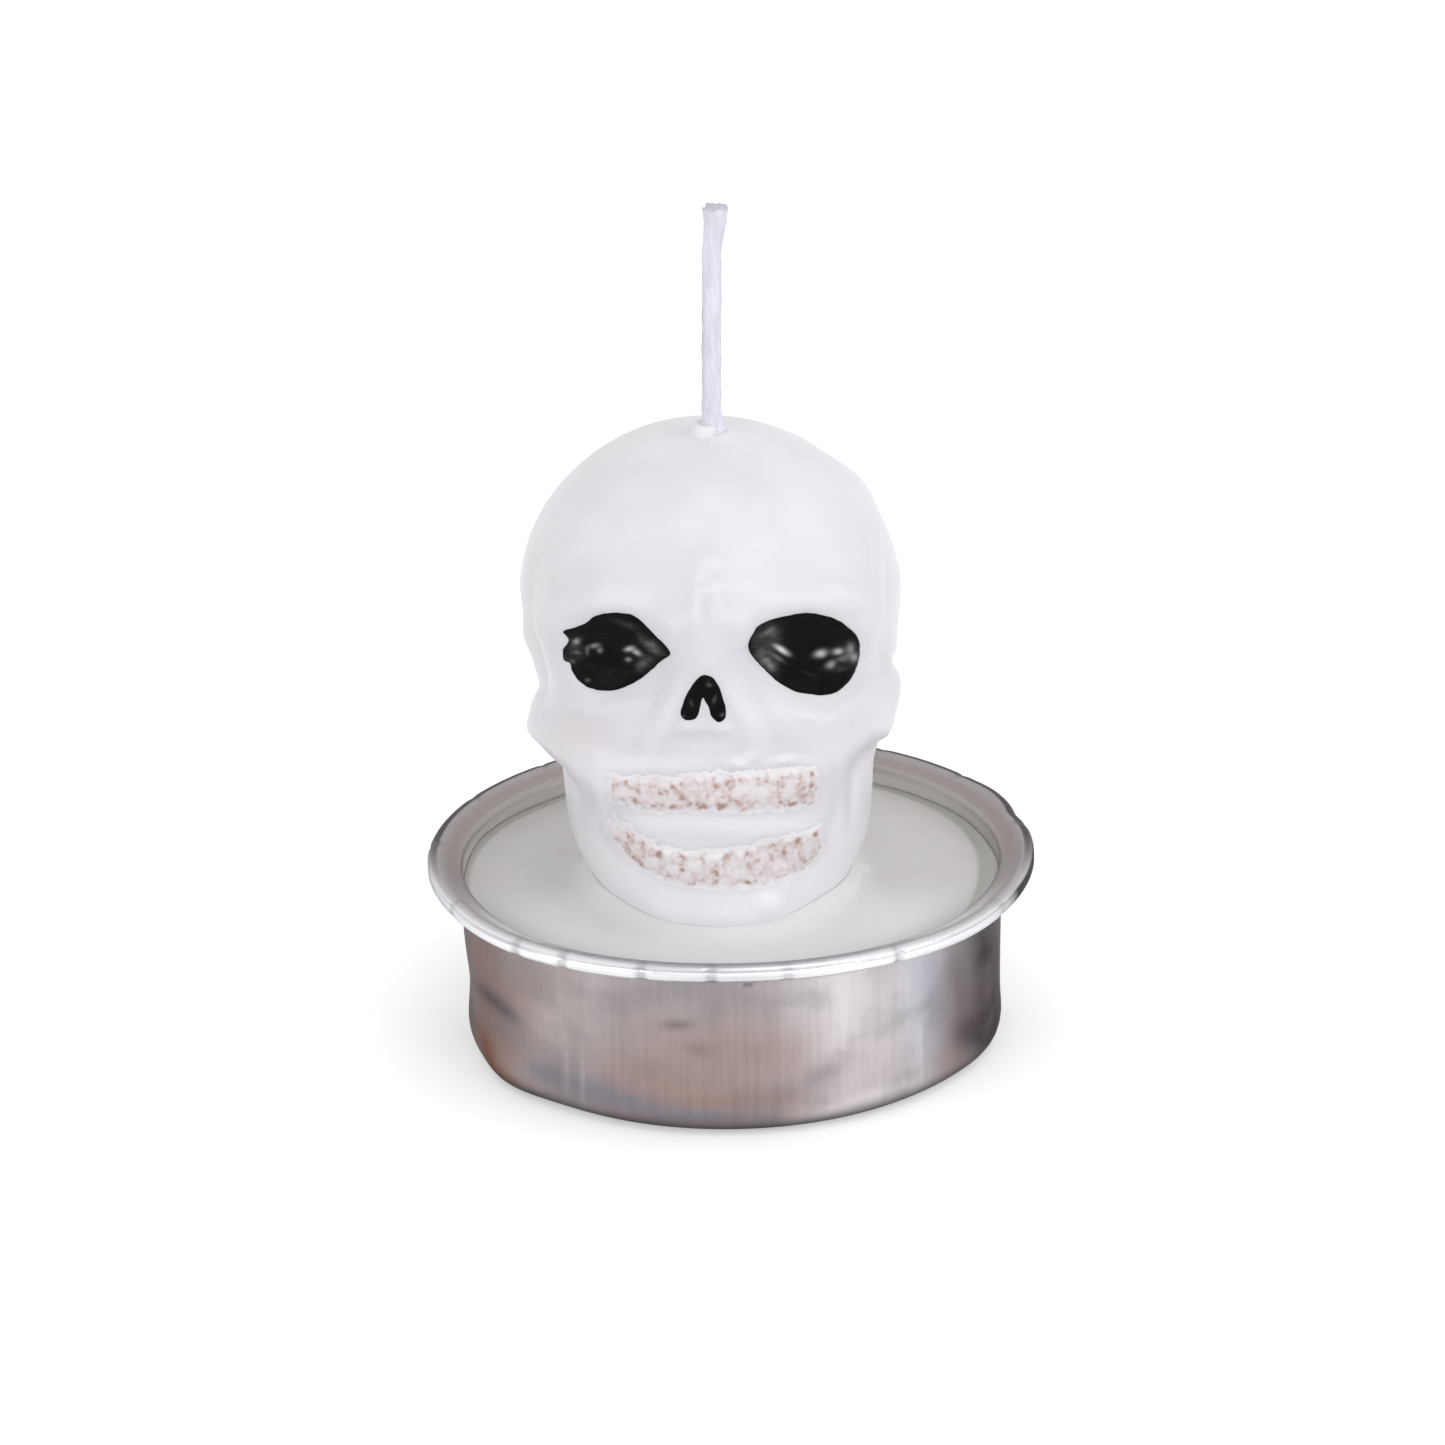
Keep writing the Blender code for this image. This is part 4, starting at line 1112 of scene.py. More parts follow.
@dataclass(frozen=True)
class Finishes:
    """Makes the materials. Its fields are the node groups that they share."""

    cloud: bpy.types.NodeTree
    skin: bpy.types.NodeTree
    heading: bpy.types.NodeTree
    streaks: bpy.types.NodeTree

    def clouds(self, tree: Tree, scale: float, detail: float, low: float, high: float, **more):
        """Adds soft patches, where the noise rises from low to high."""
        return tree.use(self.cloud, scale=scale, detail=detail, low=low, high=high, **more)

    def wax_colour(self, tree: Tree):
        """The skull's clouded white and faint pink, with painted shade in its hollows, pink painted
        shade, and painted light on the chin.
        """
        clouds = self.clouds(tree, 160.0, 2.0, 0.35, 0.65)
        pink = self.clouds(tree, 95.0, 1.0, 0.56, 0.72, shift=(0.4, 0.1, 0.2))
        return tree.layers(
            WAX_WHITE,
            (tree.times(clouds, 0.30), WAX_SHADE),
            (tree.times(pink, 0.30), WAX_PINK),
            # Painted shade in the hollows, pink painted shade, and painted light on the chin.
            (tree.attribute("painted_shade", 0.80), WAX_SHADE),
            (tree.attribute("pink_shade", 0.5), WAX_PINK),
            (tree.attribute("painted_light"), WAX_PAINTED_LIGHT),
        )

    def glow_through(self, tree: Tree, shader, weight: float, tint: Colour, depth_mm: float):
        """Lets light into wax, except where it is seated on another piece."""
        inside = tree.line(tree.attribute("seated"), -weight, weight)
        tree.settle(
            shader, Subsurface_Weight=inside, Subsurface_Radius=tint, Subsurface_Scale=depth_mm * MM
        )

    def dress_wax(self, tree: Tree, shader: bpy.types.Node, colour) -> None:
        """Sets what the skull's bare wax and its stained wax have in common."""
        sheen = self.clouds(tree, 260.0, 2.0, 0.3, 0.7, shift=(0.9, 0.2, 0.0))
        normal = tree.use(self.skin, waves=0.05, pits=0.05)
        roughness = tree.spread(sheen, 0.34, 0.42)
        tree.settle(shader, Base_Color=colour, Roughness=roughness, Normal=normal, IOR=WAX_IOR)

    def skull(self) -> bpy.types.Material:
        """Clouded white wax, which turns greyer where it meets the poured wax."""
        tree, shader = start(Finish.SKULL)
        colour = tree.mix(tree.attribute("foot", 0.20), self.wax_colour(tree), FILL_PALE)
        self.glow_through(tree, shader, 0.40, (1.0, 0.90, 0.86), 1.5)
        self.dress_wax(tree, shader, colour)
        return tree.owner

    def stain(self) -> bpy.types.Material:
        """The skull's wax with brown wiped over it, which stays in the grooves."""
        tree, shader = start(Finish.STAIN)
        fine = self.clouds(tree, 2100.0, 1.0, 0.18, 0.82)
        blots = self.clouds(tree, 1500.0, 1.0, 0.32, 0.68, shift=(0.3, 0.8, 0.1))
        grain = tree.times(tree.line(fine, 1.35, 0.05), tree.line(blots, 0.7, 0.65))
        cover = tree.times(tree.attribute("brown"), grain)
        brown = tree.mix(tree.line(cover, 1.2, -0.15, clamp=True), STAIN_BROWN, STAIN_DARK)
        wash = tree.times(tree.attribute("wash"), tree.line(blots, 0.16, 0.17))
        share = tree.line(cover, 0.85, wash, clamp=True)
        self.dress_wax(tree, shader, tree.mix(share, self.wax_colour(tree), brown))
        return tree.owner

    def enamel(self) -> bpy.types.Material:
        """Glossy black paint, brushed on thick and a little uneven, with painted highlights and
        painted sheen.
        """
        tree, shader = start(Finish.ENAMEL)
        hairs = self.clouds(tree, 1300.0, 1.0, 0.2, 0.8, stretch=(1.0, 1.0, 1.7))
        # Painted highlights: grey painted sheen and pale painted glints on the black.
        painted_sheen = tree.times(tree.attribute("painted_sheen"), tree.line(hairs, 0.9, 0.30))
        painted_glint = tree.times(tree.attribute("painted_glint"), tree.line(hairs, 0.35, 0.75))
        pale = tree.math("ADD", painted_sheen, painted_glint, clamp=True)
        tree.settle(
            shader,
            Base_Color=tree.mix(pale, ENAMEL_BLACK, ENAMEL_PAINTED_HIGHLIGHT),
            Roughness=tree.spread(hairs, 0.16, 0.28),
            Normal=tree.bump(hairs, 0.06, 0.04),
            IOR=1.5,
            Specular_IOR_Level=0.055,
        )
        return tree.owner

    def fill(self) -> bpy.types.Material:
        """Poured grey wax, paler at the skull's foot and over its front as painted light, darker
        along the wall in front as painted shade, and faintly stained at the left.
        """
        tree, shader = start(Finish.FILL)
        clouds = self.clouds(tree, 130.0, 3.0, 0.3, 0.7, shift=(0.2, 0.5, 0.0))
        stain = self.clouds(tree, 1500.0, 2.0, 0.40, 0.62)
        colour = tree.layers(
            FILL_GREY,
            (tree.times(clouds, 0.35), FILL_PALE),
            # Painted light near the skull and over the front.
            (tree.attribute("near_skull_and_lit_front"), FILL_PALE_AND_PAINTED_LIGHT),
            (tree.times(tree.times(tree.attribute("spot"), stain), 0.6), FILL_STAIN),
            # Painted shade along the wall in front.
            (tree.attribute("wall_shade", 0.80), FILL_WALL_SHADE),
            (tree.attribute("edge", 0.85), FILL_EDGE),
        )
        self.glow_through(tree, shader, 0.22, (1.0, 0.95, 0.85), 1.4)
        normal = tree.use(self.skin, waves=0.28, pits=0.08, wave_scale=240.0)
        roughness = tree.spread(clouds, 0.30, 0.42)
        tree.settle(shader, Base_Color=colour, Roughness=roughness, Normal=normal, IOR=WAX_IOR)
        return tree.owner

    def fields(self, tree: Tree, under, fields: tuple[Field, ...], limit=None):
        """Lays upright fields of colour over one another, the low ones within a limit."""
        for item in fields:
            turns = math.radians(item.heading_deg), math.radians(item.half_deg)
            mask = tree.use(self.heading, heading=turns[0], half_width=turns[1])
            amount = tree.times(mask, item.share)
            amount = tree.times(amount, limit) if item.low else amount
            under = tree.mix(amount, under, item.colour)
        return under

    def wall_colour(self, tree: Tree, streak):
        """The tarnished wall, with painted reflections and painted shade by heading and by mark, and
        its fine upright lines.
        """
        smears = self.clouds(tree, 210.0, 4.0, 0.42, 0.68, stretch=(1.0, 1.0, 1.6))
        blotch = self.clouds(tree, 120.0, 2.0, 0.40, 0.62, shift=(0.7, 0.0, 0.3))
        height = tree.add("SeparateXYZ")
        tree.feed(height.inputs[0], tree.place())
        low = tree.ramp(height.outputs["Z"], 2.2 * MM, 6.5 * MM, 1.0, 0.0)
        # Where the painted shade at the foot of the wall falls.
        foot = tree.ramp(height.outputs["Z"], 0.2 * MM, 1.6 * MM, 1.0, 0.0)
        # The wall's marks: soot and painted shade, painted reflections and painted highlights, and
        # rust.
        marks = [(tree.attribute(name, share), tint) for name, (share, tint) in MARK_TINTS.items()]
        colour = tree.layers(
            # Painted reflections by heading.
            self.fields(tree, METAL_GREY, WALL_PAINTED_REFLECTIONS, low),
            *marks,
            (tree.times(blotch, 0.20), TARNISH_AND_WARM_REFLECTION),
            (tree.times(smears, 0.38), SMEAR_GREY),
            # Painted shade: the foot of the wall, where it turns under, is painted dark.
            (tree.times(foot, 0.78), FOOT_SHADE_GREY),
        )
        return tree.mix(1.0, colour, tree.line(streak, 0.10, 0.97), "MULTIPLY")

    def aluminium(self) -> bpy.types.Material:
        """Drawn aluminium with fine upright lines, warm tarnish, painted reflections and painted
        shade, and a bright curled rim.
        """
        tree, shader = start(Finish.ALUMINIUM)
        lines = tree.use(self.streaks, across=330.0, along=6.0)
        streak = tree.ramp(lines, 0.30, 0.70)
        rolled = tree.use(self.streaks, across=9.0, along=90.0)
        scuffed = tree.times(tree.ramp(rolled, 0.46, 0.70), 0.45)
        fold = tree.times(tree.attribute("fold"), tree.ramp(rolled, 0.30, 0.60))
        bead_white = self.fields(tree, tree.mix(scuffed, BEAD_WHITE, BEAD_SCUFF), BEAD_PAINTED_REFLECTIONS)
        bead, film, gap = (tree.attribute(name) for name in ("bead", "film", "gap"))
        colour = tree.layers(
            self.wall_colour(tree, streak),
            (tree.attribute("inner"), INNER_GREY),
            (film, self.fields(tree, FILM_GREY, FILM_FIELDS)),
            # Painted reflections on the lip, the crown and the bead.
            (tree.attribute("lip"), self.fields(tree, LIP_GREY, LIP_PAINTED_REFLECTIONS)),
            (tree.attribute("crown"), self.fields(tree, CROWN_GREY, CROWN_PAINTED_REFLECTIONS)),
            (bead, tree.mix(fold, bead_white, FOLD_GREY)),
            # Painted shade on the bead's back.
            (tree.attribute("back_shade", 0.85), BACK_SHADE_GREY),
            # Painted shade in the nicks.
            (tree.attribute("nick_shade", 0.55), NICK_SHADE_GREY),
            # Painted shadow in the open curl, which is also rough and not metal.
            (tree.times(gap, 0.97), CURL_SHADOW_BLACK),
        )
        smooth = tree.line(bead, -0.14, tree.spread(streak, 0.34, 0.46))
        bare = tree.line(film, -0.85, 1.0)
        tree.settle(
            shader,
            Base_Color=colour,
            Roughness=tree.line(gap, 0.6, smooth, clamp=True),
            Metallic=tree.math("SUBTRACT", bare, gap, clamp=True),
            Normal=tree.bump(lines, 0.25, 0.03),
            Specular_Tint=(0.50, 0.48, 0.48),
        )
        return tree.owner

    def tin(self) -> bpy.types.Material:
        """Tinned steel of the pressed sustainer, which the wax hides."""
        tree, shader = start(Finish.TIN)
        spangle = self.clouds(tree, 900.0, 3.0, 0.4, 0.6)
        colour = tree.mix(spangle, TIN_DARK, TIN_PALE)
        roughness = tree.spread(spangle, 0.28, 0.42)
        tree.settle(shader, Base_Color=colour, Roughness=roughness, Metallic=1.0)
        return tree.owner

    def cotton(self) -> bpy.types.Material:
        """Waxed cotton, pale lilac white with a pinkish smear down its left side."""
        tree, shader = start(Finish.COTTON)
        fibres = self.clouds(tree, 2600.0, 3.0, 0.3, 0.7, stretch=(1.0, 1.0, 0.16))
        colour = tree.layers(
            COTTON_SHADE,
            (fibres, COTTON_WHITE),
            (tree.attribute("smear", 0.75), COTTON_SMEAR),
            (tree.attribute("tip", 0.55), COTTON_TIP),
        )
        tree.settle(
            shader,
            Base_Color=colour,
            Roughness=0.62,
            Normal=tree.bump(fibres, 0.35, 0.06),
            Subsurface_Weight=0.15,
            Subsurface_Radius=(1.0, 0.95, 0.95),
            Subsurface_Scale=0.5 * MM,
            Sheen_Weight=0.15,
        )
        return tree.owner


# Pieces of the skull

# Painted light: the rows between which the lower face is painted paler.
PAINTED_LIGHT_ROWS = (800.0, 880.0)
# Painted shade: a darker band across the eyes, as its middle row and reach in pixels.
EYE_BAND_SHADE = (660.0, 76.0)
WAX_WAVE_MM = 0.05
ENAMEL_MM = 0.075
STAIN_MM = 0.030
# Rings round the wick's foot: the share of the dome's last row, and the rise above it in mm.
WICK_COLLAR = ((0.88, 0.10), (0.80, 0.30), (0.76, 0.55), (0.70, 0.72), (0.0, 0.72))


def chin_painted_light(pixels: np.ndarray) -> np.ndarray:
    """Returns how far down the face a pixel lies, for the painted light that makes the chin's wax
    palest.
    """
    return smoothstep(pixels[..., 1], *PAINTED_LIGHT_ROWS)


@dataclass(frozen=True)
class Paint:
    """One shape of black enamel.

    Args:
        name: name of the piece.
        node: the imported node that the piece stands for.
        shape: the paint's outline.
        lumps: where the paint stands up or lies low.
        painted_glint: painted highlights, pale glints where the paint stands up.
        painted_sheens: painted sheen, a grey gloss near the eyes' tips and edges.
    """

    name: str
    node: Node
    shape: Outline
    lumps: tuple[Swell, ...]
    painted_glint: tuple[Smudge, ...]
    painted_sheens: tuple[Smudge, ...] = ()


PAINTS = (
    Paint(
        "left_eye_paint", Node.EYE_LEFT,
        LEFT_EYE, LEFT_EYE_LUMPS, LEFT_EYE_PAINTED_GLINTS, LEFT_EYE_PAINTED_SHEENS,
    ),
    Paint(
        "right_eye_paint", Node.EYE_RIGHT,
        RIGHT_EYE, RIGHT_EYE_LUMPS, RIGHT_EYE_PAINTED_GLINTS, RIGHT_EYE_PAINTED_SHEENS,
    ),
    Paint("nose_paint", Node.NOSE, NOSE_MARK, NOSE_LUMPS, NOSE_PAINTED_GLINTS),
)


@dataclass
class Head:
    """The moulded skull with its paint.

    Args:
        surface: its wax surface.
        relief: how far the face's fine relief stands out.
    """

    surface: SkullSurface
    relief: np.ndarray = field(default_factory=lambda: np.zeros(0))

    def facing(self) -> np.ndarray:
        """Returns 1 where the surface faces the photograph's camera, -1 where it turns away."""
        return -(self.surface.normals @ np.array(CAMERA.aim))

    def front(self) -> np.ndarray:
        """Returns 1 where the surface faces the photograph's camera, 0 behind."""
        facing = self.facing()
        turned = np.abs((np.degrees(self.surface.grid.headings()) + 180.0) % 360.0 - 180.0)
        ahead = 1.0 - smoothstep(turned, 68.0, 100.0)
        return smoothstep(facing, -0.05, 0.25) * ahead

    def model(self) -> None:
        """Gives the wax its fine relief."""
        pixels = self.surface.pixels
        height = swelling(FACE_SWELLS, pixels)
        for row in (UPPER_ROW, LOWER_ROW):
            height += row.relief_mm * MM * (row.crowns(pixels) - 0.2 * row.groove(pixels))
        self.relief = height * self.front()
        self.surface.push(self.relief)
        self.surface.push(swelling(SIDE_SWELLS, pixels) * smoothstep(self.facing(), -0.85, -0.45))
        self.surface.push(WAX_WAVE_MM * MM * rough(self.surface.points, 210.0, 1.3))

    def masks(self) -> dict[str, np.ndarray]:
        """Returns the maps that the wax's colour uses, among them painted shade and painted light.
        """
        height = self.surface.points[..., 2]
        pixels = self.surface.pixels
        # Painted shade: darker in the relief's hollows, round the eyes and across the eyes' band.
        painted_shade = np.clip((blur(self.relief, 6.0) - self.relief) / (0.14 * MM), 0.0, 0.8)
        for eye in (LEFT_EYE, RIGHT_EYE):
            painted_shade += 0.35 * smoothstep(eye.distance(pixels), -20.0, 0.0)
        painted_shade += shares(FACE_PAINTED_SHADE, pixels) + 0.80 * hill(pixels[..., 1], *EYE_BAND_SHADE)
        return {
            "foot": 1.0 - smoothstep(height, 11.1 * MM, 12.0 * MM),
            "seated": 1.0 - smoothstep(height, 12.4 * MM, 15.0 * MM),
            "painted_shade": np.clip(painted_shade, 0.0, 1.0) * self.front(),
            "pink_shade": shares(FACE_PINK_SHADE, pixels) * self.front(),
            "painted_light": chin_painted_light(pixels) * self.front(),
        }

    def build(self, material: bpy.types.Material) -> None:
        """Closes the surface at the foot and round the wick, and skins it."""
        rows = self.surface.points
        grid = self.surface.grid
        foot = rows[:1].copy()
        foot[..., 2] = grid.foot_z
        middle = np.zeros_like(foot)
        middle[..., 0] = grid.foot_x
        middle[..., 2] = grid.foot_z
        top = rows[-1]
        peak = top[:, 2].mean()
        centre = top.mean(axis=0)
        collar = []
        for share, rise_mm in WICK_COLLAR:
            ring = centre + (top - centre) * share
            ring[:, 2] = peak + rise_mm * MM
            collar.append(ring)
        masks = self.masks()
        piece = loft(
            "skull_moulding",
            np.concatenate([middle, foot, rows, np.array(collar)]),
            {name: np.pad(mask, ((2, 5), (0, 0)), mode="edge") for name, mask in masks.items()},
        )
        dress(piece, material, Finish.SKULL.value, Node.SKULL)

    def coat(self, name: str, inside: np.ndarray, margin: int = 3) -> Coat:
        """Cuts out the part of the surface that a mask touches."""
        inside = inside & (self.front() > 0.5)
        rows = np.flatnonzero(inside.any(axis=1))
        columns = np.flatnonzero(inside.any(axis=0))
        return Coat(
            name,
            self.surface,
            (rows[0] - margin, rows[-1] + margin + 1),
            (max(0, columns[0] - margin), columns[-1] + margin + 1),
        )

    def paint(self, mark: Paint, material: bpy.types.Material) -> None:
        """Lays black enamel in one painted shape."""
        coat = self.coat(mark.name, mark.shape.distance(self.surface.pixels) > -3.0)
        inward = mark.shape.distance(coat.pixels)
        lift = ENAMEL_MM * MM * np.tanh(inward / 2.2)
        lift = lift + swelling(mark.lumps, coat.pixels) * smoothstep(inward, -1.0, 5.0)
        # Painted highlights and painted sheen on the paint.
        masks = {"painted_glint": shares(mark.painted_glint, coat.pixels), "painted_sheen": shares(mark.painted_sheens, coat.pixels)}
        piece = coat.build(lift, inward > -4.0, masks)
        dress(piece, material, Finish.ENAMEL.value, mark.node)

    def stain(self, name: str, row: ToothRow, marks: tuple[Smudge, ...],
              material: bpy.types.Material, node: Node) -> None:
        """Wipes brown over one band of teeth."""
        coat = self.coat(name, row.distance(self.surface.pixels) > -7.0)
        inward = row.distance(coat.pixels)
        at = np.concatenate([coat.pixels, 0 * inward[..., None]], axis=-1)
        mottle = rough(at, 0.11, 5.1)
        speckle = rough(at, 0.27, 9.4)
        brown = row.brown + 0.16 * row.groove(coat.pixels) + 0.12 * mottle
        brown = brown + 0.55 * shares(marks, coat.pixels)
        brown = np.clip(brown * (1.0 + 0.45 * speckle), 0.0, 1.0)
        ragged = inward + 4.5 * mottle + 2.5 * speckle
        edge = smoothstep(ragged, -3.0, 7.0)
        lift = STAIN_MM * MM * np.tanh((ragged + 3.0) / 2.0)
        grain = STAIN_MM * MM * speckle * smoothstep(inward, 0.0, 4.0)
        masks = {"brown": brown * edge, "wash": edge, "painted_shade": 0 * brown, "pink_shade": 0 * brown}
        # Painted light on the chin, as on the bare wax.
        masks["painted_light"] = chin_painted_light(coat.pixels)
        piece = coat.build(lift + grain, inward > -8.0, masks)
        dress(piece, material, Finish.STAIN.value, node)


# Cup

@dataclass(frozen=True)
class CupSizes:
    """Sizes of the cup's sheet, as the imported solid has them."""

    radius: float = 0.0186
    height: float = 0.0134
    sheet: float = 0.00022
    corner: float = 0.0017
    taper: float = 0.00018
    flat_radius: float = 0.0100
    lip_reach: float = 0.0013
    lip_rise: float = 0.00045
    lip_bend: float = 0.0005
    bead: float = 0.00058
    bead_sweep_deg: float = 265.0
    widest: float = 0.02081


@dataclass(frozen=True)
class Crease:
    """A nick that the rolling of the rim left across the bead, or a soft dent.

    Args:
        heading_deg: where it is, from the middle of the front towards the right.
        width_deg: half its width.
        depth_mm: how deep it is. It stands out when this is below zero.
    """

    heading_deg: float
    width_deg: float
    depth_mm: float

    def share(self, headings: np.ndarray) -> np.ndarray:
        """Returns the nick's form at the headings."""
        apart = (headings - self.heading_deg + 180.0) % 360.0 - 180.0
        return hill(apart, 0.0, self.width_deg)


CREASES = rows_of(
    Crease,
    (-42.5, 0.9, 0.14), (-31.5, 0.8, 0.16), (-15.5, 0.8, 0.17), (-2.5, 0.8, 0.16),
    (11.5, 0.9, 0.1), (33.2, 0.8, 0.16), (62.5, 0.9, 0.08), (101, 0.9, 0.12), (128, 0.8, 0.14),
    (149, 0.9, 0.12), (174, 0.8, 0.15), (-163, 0.9, 0.12), (-138, 0.8, 0.14), (-117, 0.9, 0.12),
    (-93, 0.8, 0.12), (-64, 0.9, 0.1),
)
RIM_DENTS = rows_of(Crease, (106, 3.5, 0.22), (118, 6, -0.22))
LIP_BOWS = rows_of(Crease, (0, 22, 0.18), (-47, 17, -0.18), (52, 15, -0.18))
RIPPLE_MM = 0.08
# Painted shadow: where the rim's curl stands open and dark.
CURL_SHADOW = Crease(79.0, 11.0, 0.0)


@dataclass(frozen=True)
class WallBand:
    """A band of the wall's height, with its dents.

    Args:
        middle_mm: height of its middle.
        half_mm: half its height.
        dents: the dents in it.
        spread_mm: how far the whole band stands out.
    """

    middle_mm: float
    half_mm: float
    dents: tuple[Crease, ...]
    spread_mm: float = 0.0


WALL_BANDS = (
    WallBand(0.0, 2.1, rows_of(Crease, (-55, 11, -0.70), (-74, 12, -0.16), (72, 16, -0.42)), 0.10),
    WallBand(0.0, 4.8, rows_of(Crease, (-82, 16, 0.06))),
    WallBand(4.2, 2.4, rows_of(Crease, (-84, 14, 0.24))),
)


def depths(dents: tuple[Crease, ...], headings: np.ndarray) -> np.ndarray:
    """Returns how deep the dents are together at the headings, in metres."""
    return sum(dent.depth_mm * MM * dent.share(headings) for dent in dents)


# Marks on the wall: soot, painted shade along its dark sides, blue and warm painted reflections,
# pale painted highlights, and rust.
WALL_MARKS = {
    "soot_and_shade": rows_of(
        Smudge,
        (497, 1003, 28, 6.5, 0.95, -42), (464, 1000, 6, 90, 0.6), (534, 1096, 10, 4, 1, -20),
        (470, 1015, 5, 60, 0.55, 4), (677, 1025, 18, 5, 0.55), (698, 1050, 12, 7, 0.32, -20),
        (748, 984, 3.5, 3, 1), (966, 1034, 17, 18, 0.75), (980, 965, 10, 60, 0.55),
        (998, 975, 20, 90, 1), (958, 985, 8, 36, 0.45, 6), (988, 1030, 16, 24, 0.5, 25),
        (720, 976, 60, 5, 0.35),
    ),
    "blue": rows_of(
        Smudge,
        (548, 1072, 24, 14, 0.85, -10), (590, 1086, 40, 13, 0.85, -14),
        (630, 1103, 56, 9, 0.95, -9), (700, 1118, 60, 5, 0.6), (930, 1000, 12, 50, 0.25),
        (826, 1072, 26, 9, 0.8, 22), (700, 975, 50, 8, 0.3), (700, 1115, 70, 8, 0.6),
    ),
    "warm": rows_of(
        Smudge,
        (478, 960, 14, 26, 0.45), (495, 1056, 22, 30, 0.8), (530, 990, 30, 20, 0.3),
        (650, 1076, 46, 20, 0.45, -6), (715, 1103, 60, 7, 0.85), (770, 1098, 40, 9, 0.55, 8),
        (740, 1050, 80, 26, 0.5), (950, 1065, 24, 14, 0.45, 35),
    ),
    "rust": rows_of(
        Smudge,
        (509, 1086, 22, 9, 1, -40), (487, 1050, 7, 30, 0.85, 18),
    ),
    "pale": rows_of(
        Smudge,
        (566, 1068, 3, 26, 0.35), (583, 1072, 3, 30, 0.3), (560, 1020, 20, 36, 0.3),
        (842, 1010, 24, 60, 0.65), (876, 1035, 22, 42, 0.75), (919, 1045, 3, 22, 0.6),
        (855, 1100, 58, 6, 0.7, 18), (800, 1000, 22, 40, 0.3), (592, 1010, 14, 60, 0.22),
        (903, 1000, 18, 70, 0.4), (912, 1074, 16, 16, 0.55),
    ),
}


def arc(centre: tuple[float, float], radius: float, start: float, end: float, steps: int) -> list:
    """Points on part of a circle in a profile, by angles in degrees."""
    turns = np.radians(np.linspace(start, end, steps + 1))
    return [(centre[0] + radius * math.cos(t), centre[1] + radius * math.sin(t)) for t in turns]


def run(start: tuple[float, float], end: tuple[float, float], steps: int) -> list:
    """Points on a straight part of a profile, without its first."""
    steps_along = np.linspace(0.0, 1.0, steps + 1)[1:]
    return [tuple(np.array(start) * (1 - s) + np.array(end) * s) for s in steps_along]


